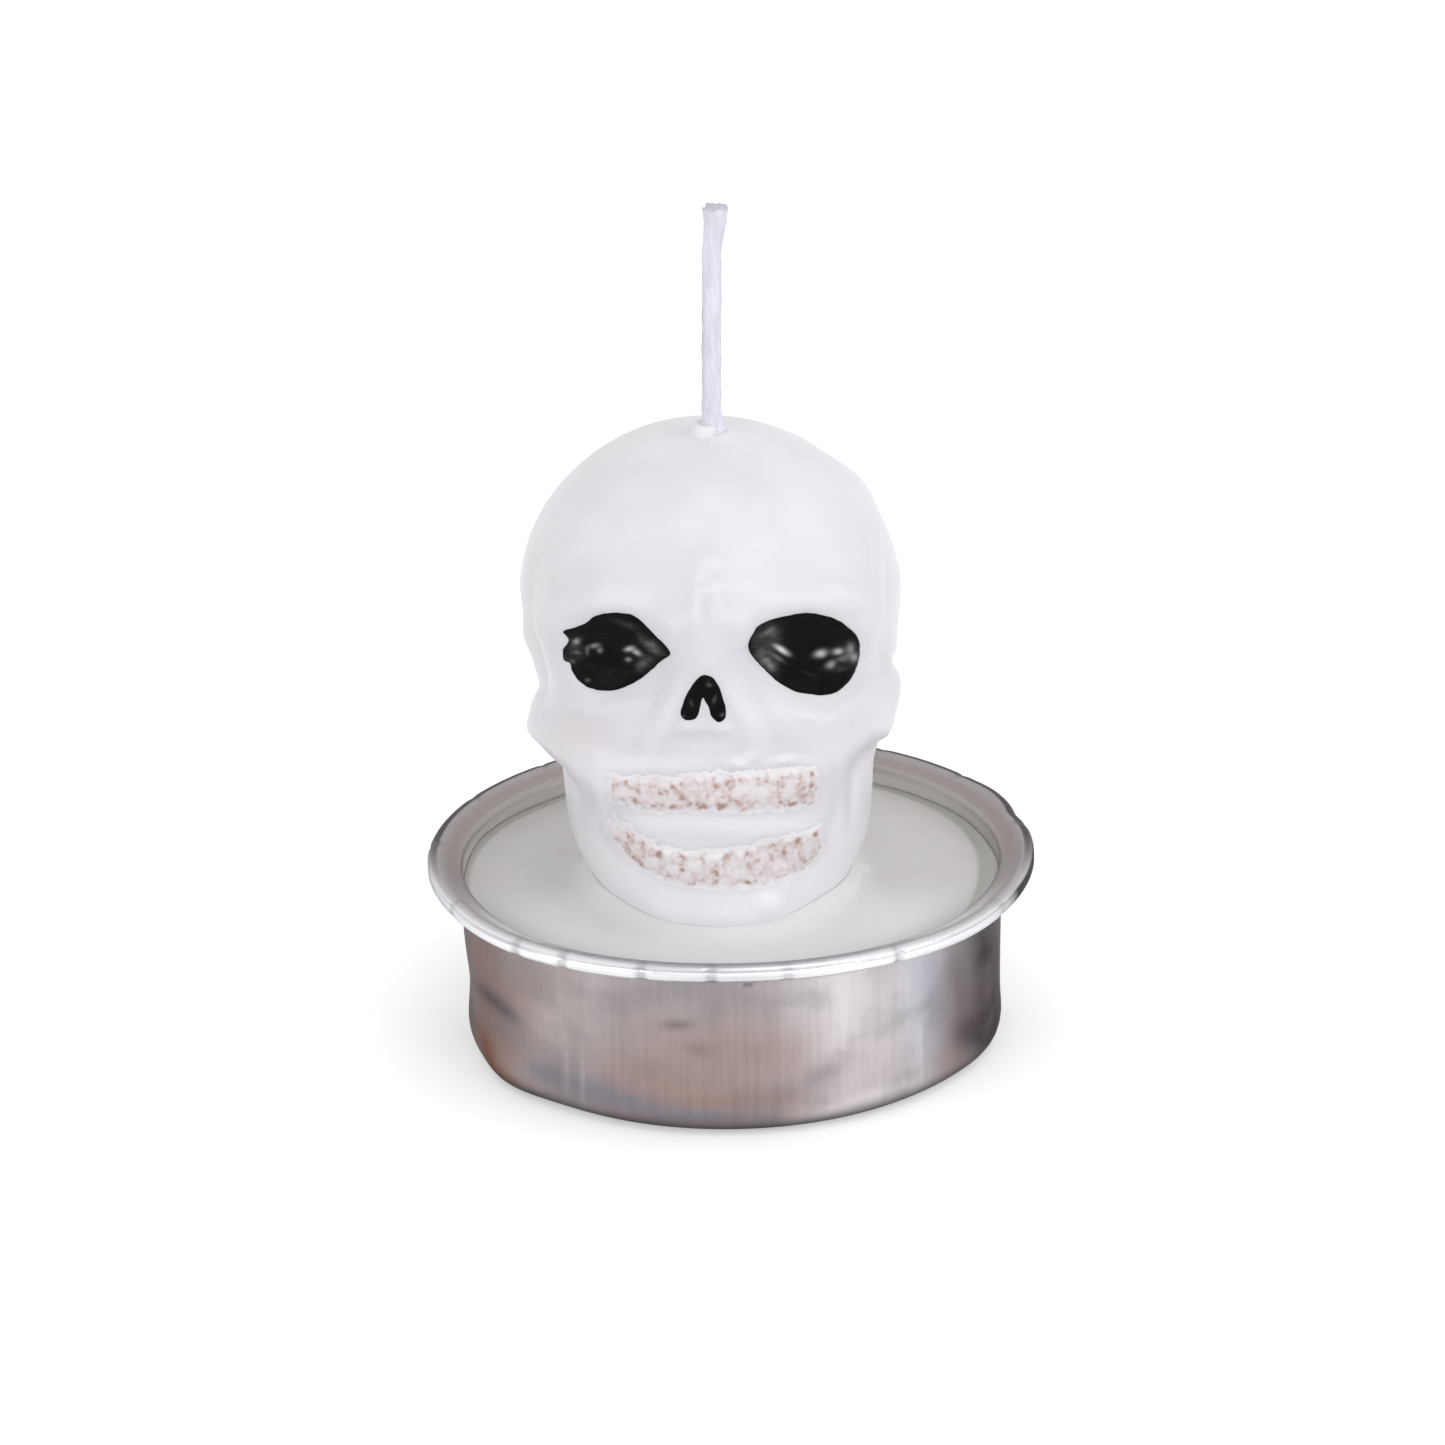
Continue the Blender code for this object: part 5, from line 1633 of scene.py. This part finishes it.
@dataclass
class Cup:
    """The drawn cup with its flanged lip and rolled rim.

    Args:
        sizes: the sheet's sizes.
        columns: how many times the profile is set round the axis.
    """

    sizes: CupSizes
    columns: int = 360

    def middle_line(self) -> np.ndarray:
        """Returns the middle of the sheet from the centre out to the bead's end."""
        s = self.sizes
        half = s.sheet / 2
        lip_foot = s.height - s.lip_rise - s.lip_bend - s.bead / 2
        slope = math.degrees(math.atan2(s.lip_rise, s.lip_reach))
        line = [(0.0, half)] + run((0.0, half), (s.flat_radius, half), 3)
        base = s.radius - s.taper - half
        corner = (base - s.corner, s.corner + half)
        line += run(line[-1], (corner[0], half), 4)
        line += arc(corner, s.corner, -90, 0, 10)[1:]
        top = (s.radius - half, lip_foot)
        line += run(line[-1], top, 34)
        line += arc((top[0] + s.lip_bend, lip_foot), s.lip_bend, 180, 90 + slope, 5)[1:]
        end = (line[-1][0] + s.lip_reach, line[-1][1] + s.lip_rise)
        line += run(line[-1], end, 4)
        reach = s.bead - half
        turn = math.radians(slope)
        bead = (end[0] + math.sin(turn) * reach, end[1] - math.cos(turn) * reach)
        line += arc(bead, reach, 90 + slope, 90 + slope - s.bead_sweep_deg, 22)[1:]
        return np.array(line)

    def outline(self) -> tuple[np.ndarray, np.ndarray]:
        """Gives the line its thickness.

        Returns:
            The outline, under side first, and 1 for each of its points on the inner side.
        """
        line = self.middle_line()
        along = np.gradient(line, axis=0)
        along /= np.linalg.norm(along, axis=1, keepdims=True)
        normal = np.stack([along[:, 1], -along[:, 0]], axis=1)
        under = line + normal * self.sizes.sheet / 2
        over = line - normal * self.sizes.sheet / 2
        under[0, 0] = over[0, 0] = 0.0
        side = np.concatenate([np.zeros(len(line)), np.ones(len(line))])
        return np.concatenate([under, over[::-1]]), side

    def build(self, material: bpy.types.Material) -> None:
        """Turns the profile round the axis and dents it as the photograph shows."""
        s = self.sizes
        outline, side = self.outline()
        degrees = np.linspace(0.0, 360.0, self.columns, endpoint=False) - 180.0
        heading = np.radians(degrees)
        radius = np.repeat(outline[:, :1], self.columns, axis=1)
        height = np.repeat(outline[:, 1:], self.columns, axis=1)
        inner = np.repeat(side[:, None], self.columns, axis=1)
        on_bead = smoothstep(radius, s.radius + s.lip_reach * 0.75, s.radius + s.lip_reach * 1.1)
        outer = smoothstep(radius, s.radius + 0.8 * MM, s.radius + 1.5 * MM)
        at_lip = np.clip((height - (s.height - 3 * s.bead)) / s.bead, 0.0, 1.0)
        from_flat = np.clip((radius - s.flat_radius) / (s.radius - s.flat_radius), 0.0, 1.0)

        nick = depths(CREASES, degrees)
        ripple = rough(np.stack([np.sin(heading), np.cos(heading), 0 * heading], -1), 2.2, 7.7)
        push = (depths(RIM_DENTS, degrees) + RIPPLE_MM * MM * np.maximum(ripple, 0.0)) * outer
        for band in WALL_BANDS:
            dent = depths(band.dents, degrees) - band.spread_mm * MM
            push = push + dent * from_flat * hill(height, band.middle_mm * MM, band.half_mm * MM)
        push = push + nick * on_bead
        height = height + depths(LIP_BOWS, degrees) * at_lip
        radius = radius - push * (radius > s.flat_radius + s.sheet)
        radius = np.minimum(radius, s.widest)
        rows = np.stack([radius * np.sin(heading), -radius * np.cos(heading), height], axis=-1)

        from_bead = outline - [outline[:, 0].max() - s.bead, s.height - s.bead]
        turn = np.degrees(np.arctan2(from_bead[:, 1], from_bead[:, 0]))[:, None]
        under = smoothstep(height, s.height - 0.35 * s.bead, s.height - 0.95 * s.bead)
        behind = smoothstep(np.abs(degrees), 72.0, 98.0)
        # Where the painted shadow of the open curl falls.
        curl_shadow = np.minimum(1.0, 2.0 * CURL_SHADOW.share(degrees))
        masks = {
            "bead": on_bead * (1.0 - smoothstep(turn, 22.0, 72.0)),
            "inner": inner * (1 - on_bead),
            "lip": smoothstep(radius, s.radius, s.radius + 0.25 * MM) * inner * (1 - on_bead),
            # Painted shade in the nicks across the bead.
            "nick_shade": on_bead * np.minimum(nick / (0.14 * MM), 1.0),
            # Painted shadow in the open curl, near black.
            "gap": on_bead * curl_shadow * np.maximum(under, 1.0 - smoothstep(turn, 20.0, 48.0)),
            # Painted shade on the bead's back.
            "back_shade": on_bead * behind * (1.0 - smoothstep(turn, 96.0, 122.0)),
            "crown": on_bead,
            "fold": 0.7 * on_bead * hill(turn, 14.0, 11.0),
            "film": inner * (1.0 - smoothstep(height, s.height - 1.3 * MM, s.height - 0.9 * MM)),
        }
        ahead = (1.0 - inner) * smoothstep(-rows[..., 1], -3.0 * MM, 1.0 * MM) * (1 - on_bead)
        pixels = CAMERA.project(rows)
        # Painted marks on the wall's front: soot, painted shade, painted reflections and highlights,
        # rust.
        for name, marks in WALL_MARKS.items():
            masks[name] = np.clip(shares(marks, pixels), 0.0, 1.0) * ahead
        piece = loft("cup_shell", rows, masks)
        dress(piece, material, Finish.ALUMINIUM.value, Node.CUP)


# Poured wax

@dataclass
class Pour:
    """The poured wax round the skull's foot.

    Args:
        surface: the skull that stands in it.
        cup: the cup that holds it.
        level: height of the wax.
        gap: what the wax keeps from its neighbours.
        sustainer_radius: radius of the disc under the pocket.
        sustainer_sheet: thickness of the disc.
        neck_height: height of the disc's neck.
        neck_radius: radius of the neck.
        bore: radius of the hole that the wick stands in.
        wick_lean_deg: how far the wick leans.
        seat: how far above the wax the skull's foot meets it.
    """

    surface: SkullSurface
    cup: CupSizes
    level: float = 0.0111
    gap: float = 0.0003
    sustainer_radius: float = 0.0064
    sustainer_sheet: float = 0.00025
    neck_height: float = 0.0032
    neck_radius: float = 0.00127
    bore: float = 0.00097
    wick_lean_deg: float = 0.9
    seat: float = 1.0 * MM

    def ring(self, radius: float, z: float, centre_x: float = 0.0) -> np.ndarray:
        """Returns a level circle."""
        around = self.surface.grid.headings()
        x = centre_x + radius * np.sin(around)
        return np.stack([x, -radius * np.cos(around), z + 0 * around], -1)

    def wick_ring(self, radius: float, z: float) -> np.ndarray:
        """Returns a circle round the wick."""
        return self.ring(radius, z, -z * math.tan(math.radians(self.wick_lean_deg)))

    def wall_radius(self, z: float) -> float:
        """The wax's radius at a height, a gap inside the cup's wall."""
        share = min(1.0, max(0.0, (z - self.cup.corner) / (self.cup.height - self.cup.corner)))
        return self.cup.radius - self.cup.sheet - self.cup.taper * (1.0 - share) - self.gap

    def hidden_rows(self, over_neck: float, floor: float) -> list[np.ndarray]:
        """Returns the rows of the pocket over the sustainer, the base and the edge."""
        over_plate = floor + self.sustainer_sheet + self.gap
        neck = self.neck_radius + self.gap
        plate = self.sustainer_radius + self.gap
        pocket = ((neck, over_neck), (neck, over_plate), (plate, over_plate), (plate, floor))
        rows = [self.wick_ring(r, z) for r, z in pocket]
        corner = self.cup.corner
        turn = (self.wall_radius(0.0) - corner, floor + corner)
        rows += [self.ring(r, z) for r, z in arc(turn, corner, -90, 0, 6)]
        for share in np.linspace(0.0, 1.0, 8)[1:]:
            z = floor + corner + (self.level - floor - corner) * share
            rows.append(self.ring(self.wall_radius(z) + self.gap * share**4, z))
        return rows

    def top_row(self, point: np.ndarray, from_wall: np.ndarray, from_skull: np.ndarray) -> None:
        """Gives a row of the surface its height: it creeps up the wall and up the skull."""
        uneven = 1.0 + 1.1 * rough(self.ring(self.cup.radius, 0.0), 130.0, 2.2)
        creep = 0.42 * MM * np.exp(-from_wall / (0.35 * MM)) * uneven
        reach = (0.7 + 1.3 * self.ahead(point)) * MM
        fillet = 0.90 * MM * np.clip(1.0 - from_skull / reach, 0.0, 1.0) ** 2
        fillet += 0.12 * MM * hill(from_skull, 0.0, 2.2 * MM)
        wave = 0.05 * MM * rough(point, 260.0, 4.0) * np.minimum(1.0, from_wall / (1.5 * MM))
        point[:, 2] = self.level + creep + fillet + wave

    def ahead(self, point: np.ndarray) -> np.ndarray:
        """Returns 1 in front of the skull, 0 behind it."""
        return smoothstep(-point[:, 1], 0.0, 9.0 * MM)

    def build(self, material: bpy.types.Material) -> None:
        """Lofts the wax: the pocket, the base, the edge, the surface and the skull's seat."""
        grid = self.surface.grid
        floor = self.cup.sheet + self.gap
        over_neck = floor + self.neck_height + self.gap
        hidden = self.hidden_rows(over_neck, floor)
        step = int(round((self.level + self.seat - grid.foot_z) / grid.rise))
        inner = self.surface.points[step].copy()
        outer = self.ring(self.wall_radius(self.level) + self.gap, self.level)
        across = np.linalg.norm((outer - inner)[:, :2], axis=1)
        at_wall, between_both, at_skull = (
            np.linspace(low, high, count)
            for low, high, count in ((0.0, 0.16, 14), (0.16, 0.80, 30), (0.80, 1.0, 18))
        )
        top = []
        tints = []
        film = 0.35 + 1.05 * Crease(84.0, 30.0, 0.0).share(np.degrees(grid.headings()))
        for share in np.concatenate([at_wall, between_both[1:], at_skull[1:]]):
            point = outer + (inner - outer) * share
            from_wall = across * share
            from_skull = across * (1.0 - share)
            self.top_row(point, from_wall, from_skull)
            ahead = self.ahead(point)
            # Painted light: the wax in front of the skull is painted paler, most of all next to it.
            painted_light = 0.78 * ahead + 0.06
            top.append(point)
            tints.append({
                "near_skull_and_lit_front": painted_light + (1.0 - painted_light) * hill(from_skull, 0.0, (1.2 + 1.8 * ahead) * MM),
                # Painted shade: darker near the wall in front.
                "wall_shade": ahead * hill(from_wall, 0.0, 2.4 * MM),
                "seated": 1.0 - smoothstep(from_skull, 0.8 * MM, 2.6 * MM),
                "edge": 1.0 - smoothstep(from_wall, (film - 0.12) * MM, (film + 0.12) * MM),
            })
        under_skull = grid.foot_z - self.gap
        under = [self.surface.points[i] * [0.97, 0.97, 1.0] for i in (step, 0)]
        under[0][:, 2] = self.level - 0.1 * MM
        under[1][:, 2] = under_skull
        last = [self.wick_ring(self.bore, under_skull), self.wick_ring(self.bore, over_neck)]
        everything = np.array(hidden + top + under + last + hidden[:1])

        first, end = len(hidden), len(hidden) + len(top)
        masks = {}
        for name in tints[0]:
            masks[name] = np.full(everything.shape[:2], 1.0 if name == "seated" else 0.0)
            masks[name][first:end] = [tint[name] for tint in tints]
        masks["near_skull_and_lit_front"][end:-1] = 1.0
        pixels = CAMERA.project(everything)
        masks["spot"] = shares(FILL_SPOTS, pixels)
        spill = FILL_SPILL.share(pixels) * (everything[..., 2] > self.level)
        masks["near_skull_and_lit_front"] = np.maximum(masks["near_skull_and_lit_front"], spill)
        piece = loft("poured_wax", everything, masks)
        dress(piece, material, Finish.FILL.value, Node.FILL)


# Wick

WICK_LINE = (
    (0.0, 0.0), (10.0, -0.16), (36.0, -0.56), (42.0, -0.66), (45.5, -0.70), (47.0, -0.67),
    (52.5, -0.56), (56.0, -0.49), (57.3, -0.32), (58.1, -0.18), (59.1, -0.25),
)


@dataclass
class Wick:
    """The waxed cotton wick with its frayed tip.

    Args:
        bottom: height of its foot.
        crown: height at which it leaves the skull.
        top: height of its tip.
        radius: radius of the twisted body.
        pitch: height of one turn of its strands.
        columns: points round it.
        stations: rows along it.
        loose_fibres: how many fibres stand loose at the tip.
    """

    bottom: float
    crown: float
    top: float
    radius: float = 0.00064
    pitch: float = 0.0065
    columns: int = 72
    stations: int = 420
    loose_fibres: int = 26

    def centre(self, z: np.ndarray) -> np.ndarray:
        """Where the wick stands at a height."""
        heights, places = np.array(WICK_LINE).T
        return np.interp(z, heights * MM, places * MM)

    def body(self) -> tuple[np.ndarray, dict[str, np.ndarray]]:
        """Returns the rows of the twisted body and its masks."""
        z = np.linspace(self.bottom, self.top - 0.0002, self.stations)
        turn = np.linspace(0.0, 2 * math.pi, self.columns, endpoint=False)
        levels, turns = np.meshgrid(z, turn, indexing="ij")
        twist = 2 * math.pi * levels / self.pitch
        strand = 0.02 * MM * np.cos(3 * (turns + twist))
        ply = 0.02 * MM * np.cos(11 * turns + 5 * twist)
        from_top = self.top - levels
        flare = 0.22 * MM * hill(from_top, 0.0, 1.6 * MM)
        swell = 0.34 * MM * hill(np.maximum(levels - self.crown, 0.0), 0.0, 0.8 * MM)
        radius = self.radius + strand + ply + flare + swell
        unit = np.stack([np.sin(turns), -np.cos(turns), levels * 900.0], axis=-1)
        fuzz = rough(unit, 1.6, 3.0)
        fine = rough(unit * [5.0, 5.0, 2.0], 1.0, 8.0)
        frayed = hill(from_top, 0.0, 1.1 * MM)
        radius = radius + (fuzz * (0.03 + 0.10 * frayed) + fine * 0.02) * MM
        sink = 0.35 * MM * frayed * rough(unit * [1.5, 1.5, 0.0], 1.0, 6.0)
        x = self.centre(levels) + radius * np.sin(turns)
        y = -radius * np.cos(turns)
        rows = np.stack([x, y, levels + np.minimum(sink, 0.1 * MM)], axis=-1)
        left = hill(turns, 1.5 * math.pi, 0.55)
        patch = hill(levels, 51.2 * MM, 1.8 * MM) + 0.55 * hill(levels, 47.8 * MM, 3.6 * MM)
        return rows, {"smear": np.clip(left * patch, 0.0, 1.0), "tip": frayed * (0.5 + 0.5 * fine)}

    def fibre(self, number: int) -> np.ndarray:
        """Returns the rows of one loose fibre at the tip."""
        chance = np.random.default_rng(40 + number)
        heading = chance.uniform(0.0, 2 * math.pi)
        start_r = self.radius * chance.uniform(0.3, 1.0)
        length = chance.uniform(0.0005, 0.0013)
        foot = self.top - chance.uniform(0.0003, 0.0008)
        lean = chance.uniform(0.05, 0.75)
        curl = chance.uniform(-0.5, 0.5)
        rows = []
        for i in range(7):
            share = i / 6
            rise = length * share * math.cos(lean * share)
            out = start_r + length * share * math.sin(lean * share) * 0.8
            turn = heading + curl * share
            x = self.centre(np.array(self.top)) + out * math.sin(turn)
            y = -out * math.cos(turn)
            z = min(foot + rise, self.top)
            thick = 0.028 * MM * (1.0 - 0.6 * share)
            around = [2 * math.pi * k / 6 for k in range(6)]
            rows.append([(x + thick * math.cos(a), y + thick * math.sin(a), z) for a in around])
        return np.array(rows)

    def build(self, material: bpy.types.Material) -> None:
        """Lofts the wick and joins the loose fibres to it."""
        rows, masks = self.body()
        ends = [rows[:1].mean(axis=1, keepdims=True).repeat(self.columns, axis=1)]
        ends.append(rows[-1:].mean(axis=1, keepdims=True).repeat(self.columns, axis=1))
        closed = np.concatenate([ends[0], rows, ends[1]])
        padded = {name: np.pad(mask, ((1, 1), (0, 0)), mode="edge") for name, mask in masks.items()}
        wick = loft("twisted_wick", closed, padded)
        fibres = []
        for number in range(self.loose_fibres):
            ring_rows = self.fibre(number)
            ends = ring_rows[[0, -1]].mean(axis=1, keepdims=True).repeat(6, axis=1)
            capped = np.concatenate([ends[:1], ring_rows, ends[1:]])
            zero = np.zeros(capped.shape[:2])
            fibres.append(loft(f"fibre_{number}", capped, {"smear": zero, "tip": zero + 0.6}))
        bpy.ops.object.select_all(action="DESELECT")
        for piece in [*fibres, wick]:
            piece.select_set(True)
        bpy.context.view_layer.objects.active = wick
        bpy.ops.object.join()
        dress(wick, material, Finish.COTTON.value, Node.WICK)


# Stage

@dataclass(frozen=True)
class Lamp:
    """A soft rectangular lamp that is aimed at the candle.

    Args:
        name: its name.
        place: where it stands, in metres.
        size: its width and height, in metres.
        power: its power, in watts.
        colour: its colour.
    """

    name: str
    place: tuple[float, float, float]
    size: tuple[float, float]
    power: float
    colour: tuple[float, float, float] = (1.0, 1.0, 1.0)

    def build(self) -> None:
        """Adds the lamp."""
        data = bpy.data.lights.new(self.name, "AREA")
        data.shape = "RECTANGLE"
        data.size, data.size_y = self.size
        data.energy = self.power
        data.color = self.colour
        lamp = bpy.data.objects.new(self.name, data)
        bpy.context.scene.collection.objects.link(lamp)
        lamp.location = self.place
        aim = Vector((0.0, 0.0, 0.02)) - Vector(self.place)
        lamp.rotation_euler = aim.to_track_quat("-Z", "Y").to_euler()


LAMPS = (
    Lamp("left", (-0.36, -0.50, 0.12), (0.05, 0.05), 0.22),
    Lamp("right", (0.38, -0.48, 0.15), (0.05, 0.05), 0.26, (0.98, 0.99, 1.0)),
    Lamp("front", (0.03, -0.62, 0.12), (0.60, 0.24), 0.58),
    Lamp("low", (-0.46, -0.34, 0.06), (0.26, 0.16), 0.16),
    Lamp("side", (0.50, -0.16, 0.30), (0.30, 0.40), 0.45, (0.98, 0.99, 1.0)),
    Lamp("top", (0.10, -0.10, 0.60), (0.30, 0.30), 0.24),
)
BACKDROP_WHITE = (1.0, 1.0, 1.0)
PAPER_WHITE = (0.86, 0.86, 0.86)
PAPER_GLOW = 0.36
SURROUND_LIGHT = 0.80


def direct_view(tree: Tree):
    """Returns 1 for what the camera sees directly, in a mirror or through glass."""
    path = tree.add("LightPath")
    camera, glossy, through = (
        path.outputs[f"Is {kind} Ray"] for kind in ("Camera", "Glossy", "Transmission")
    )
    return tree.math("ADD", tree.math("ADD", camera, glossy, clamp=True), through, clamp=True)


def build_world(strength: float) -> None:
    """A plain white surround: soft light on the candle, pure white behind it."""
    world = bpy.data.worlds.new("surround")
    bpy.context.scene.world = world
    world.use_nodes = True
    tree = Tree(world.node_tree)
    light = {"Color": BACKDROP_WHITE, "Strength": tree.spread(direct_view(tree), strength, 1.0)}
    tree.feed(tree.add("OutputWorld").inputs["Surface"], tree.put("Background", light))


def build_floor() -> None:
    """A plain pale floor that keeps the candle's shadow."""
    bpy.ops.object.select_all(action="DESELECT")
    bpy.ops.mesh.primitive_plane_add(size=6.0, location=(0.0, 0.0, 0.0))
    floor = bpy.context.object
    floor.name = "studio_floor"
    material = bpy.data.materials.new("studio_floor")
    material.use_nodes = True
    tree = Tree(material.node_tree)
    paper = tree.put("BsdfDiffuse", {"Color": PAPER_WHITE})
    light = {"Color": BACKDROP_WHITE, "Strength": tree.times(direct_view(tree), PAPER_GLOW)}
    both = tree.put("AddShader", {0: paper, 1: tree.put("Emission", light)})
    tree.feed(tree.add("OutputMaterial").inputs["Surface"], both)
    floor.data.materials.append(material)


def write_sizes() -> None:
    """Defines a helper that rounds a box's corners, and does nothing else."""
    def plain(box):
        return [[round(float(v), 6) for v in corner] for corner in box]


def main() -> None:
    """Builds the dressed candle and its studio."""
    logging.basicConfig(level=logging.INFO, format="%(name)s: %(message)s")
    bpy.context.scene.view_settings.view_transform = "Standard"
    CAMERA.build()
    cloud = cloud_group()
    kit = Finishes(cloud, skin_group(cloud), heading_group(), streak_group())
    enamel = kit.enamel()
    stain = kit.stain()

    surface = read_surface(SkullGrid())
    head = Head(surface)
    head.model()
    head.build(kit.skull())
    for mark in PAINTS:
        head.paint(mark, enamel)
    head.stain("upper_teeth_brown", UPPER_ROW, UPPER_SMUDGES, stain, Node.UPPER_TEETH)
    head.stain("lower_teeth_brown", LOWER_ROW, LOWER_SMUDGES, stain, Node.LOWER_TEETH)

    sizes = CupSizes()
    Cup(sizes).build(kit.aluminium())
    Pour(surface, sizes).build(kit.fill())
    wick_low, wick_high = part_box(Node.WICK.value)
    crown = float(surface.points[-1, :, 2].mean())
    Wick(bottom=wick_low.z, crown=crown, top=wick_high.z).build(kit.cotton())
    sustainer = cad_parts[Node.SUSTAINER.value]
    sustainer.data.materials.clear()
    sustainer.data.materials.append(kit.tin())

    build_world(SURROUND_LIGHT)
    build_floor()
    for lamp in LAMPS:
        lamp.build()
    write_sizes()


if __name__ == "__main__":
    main()
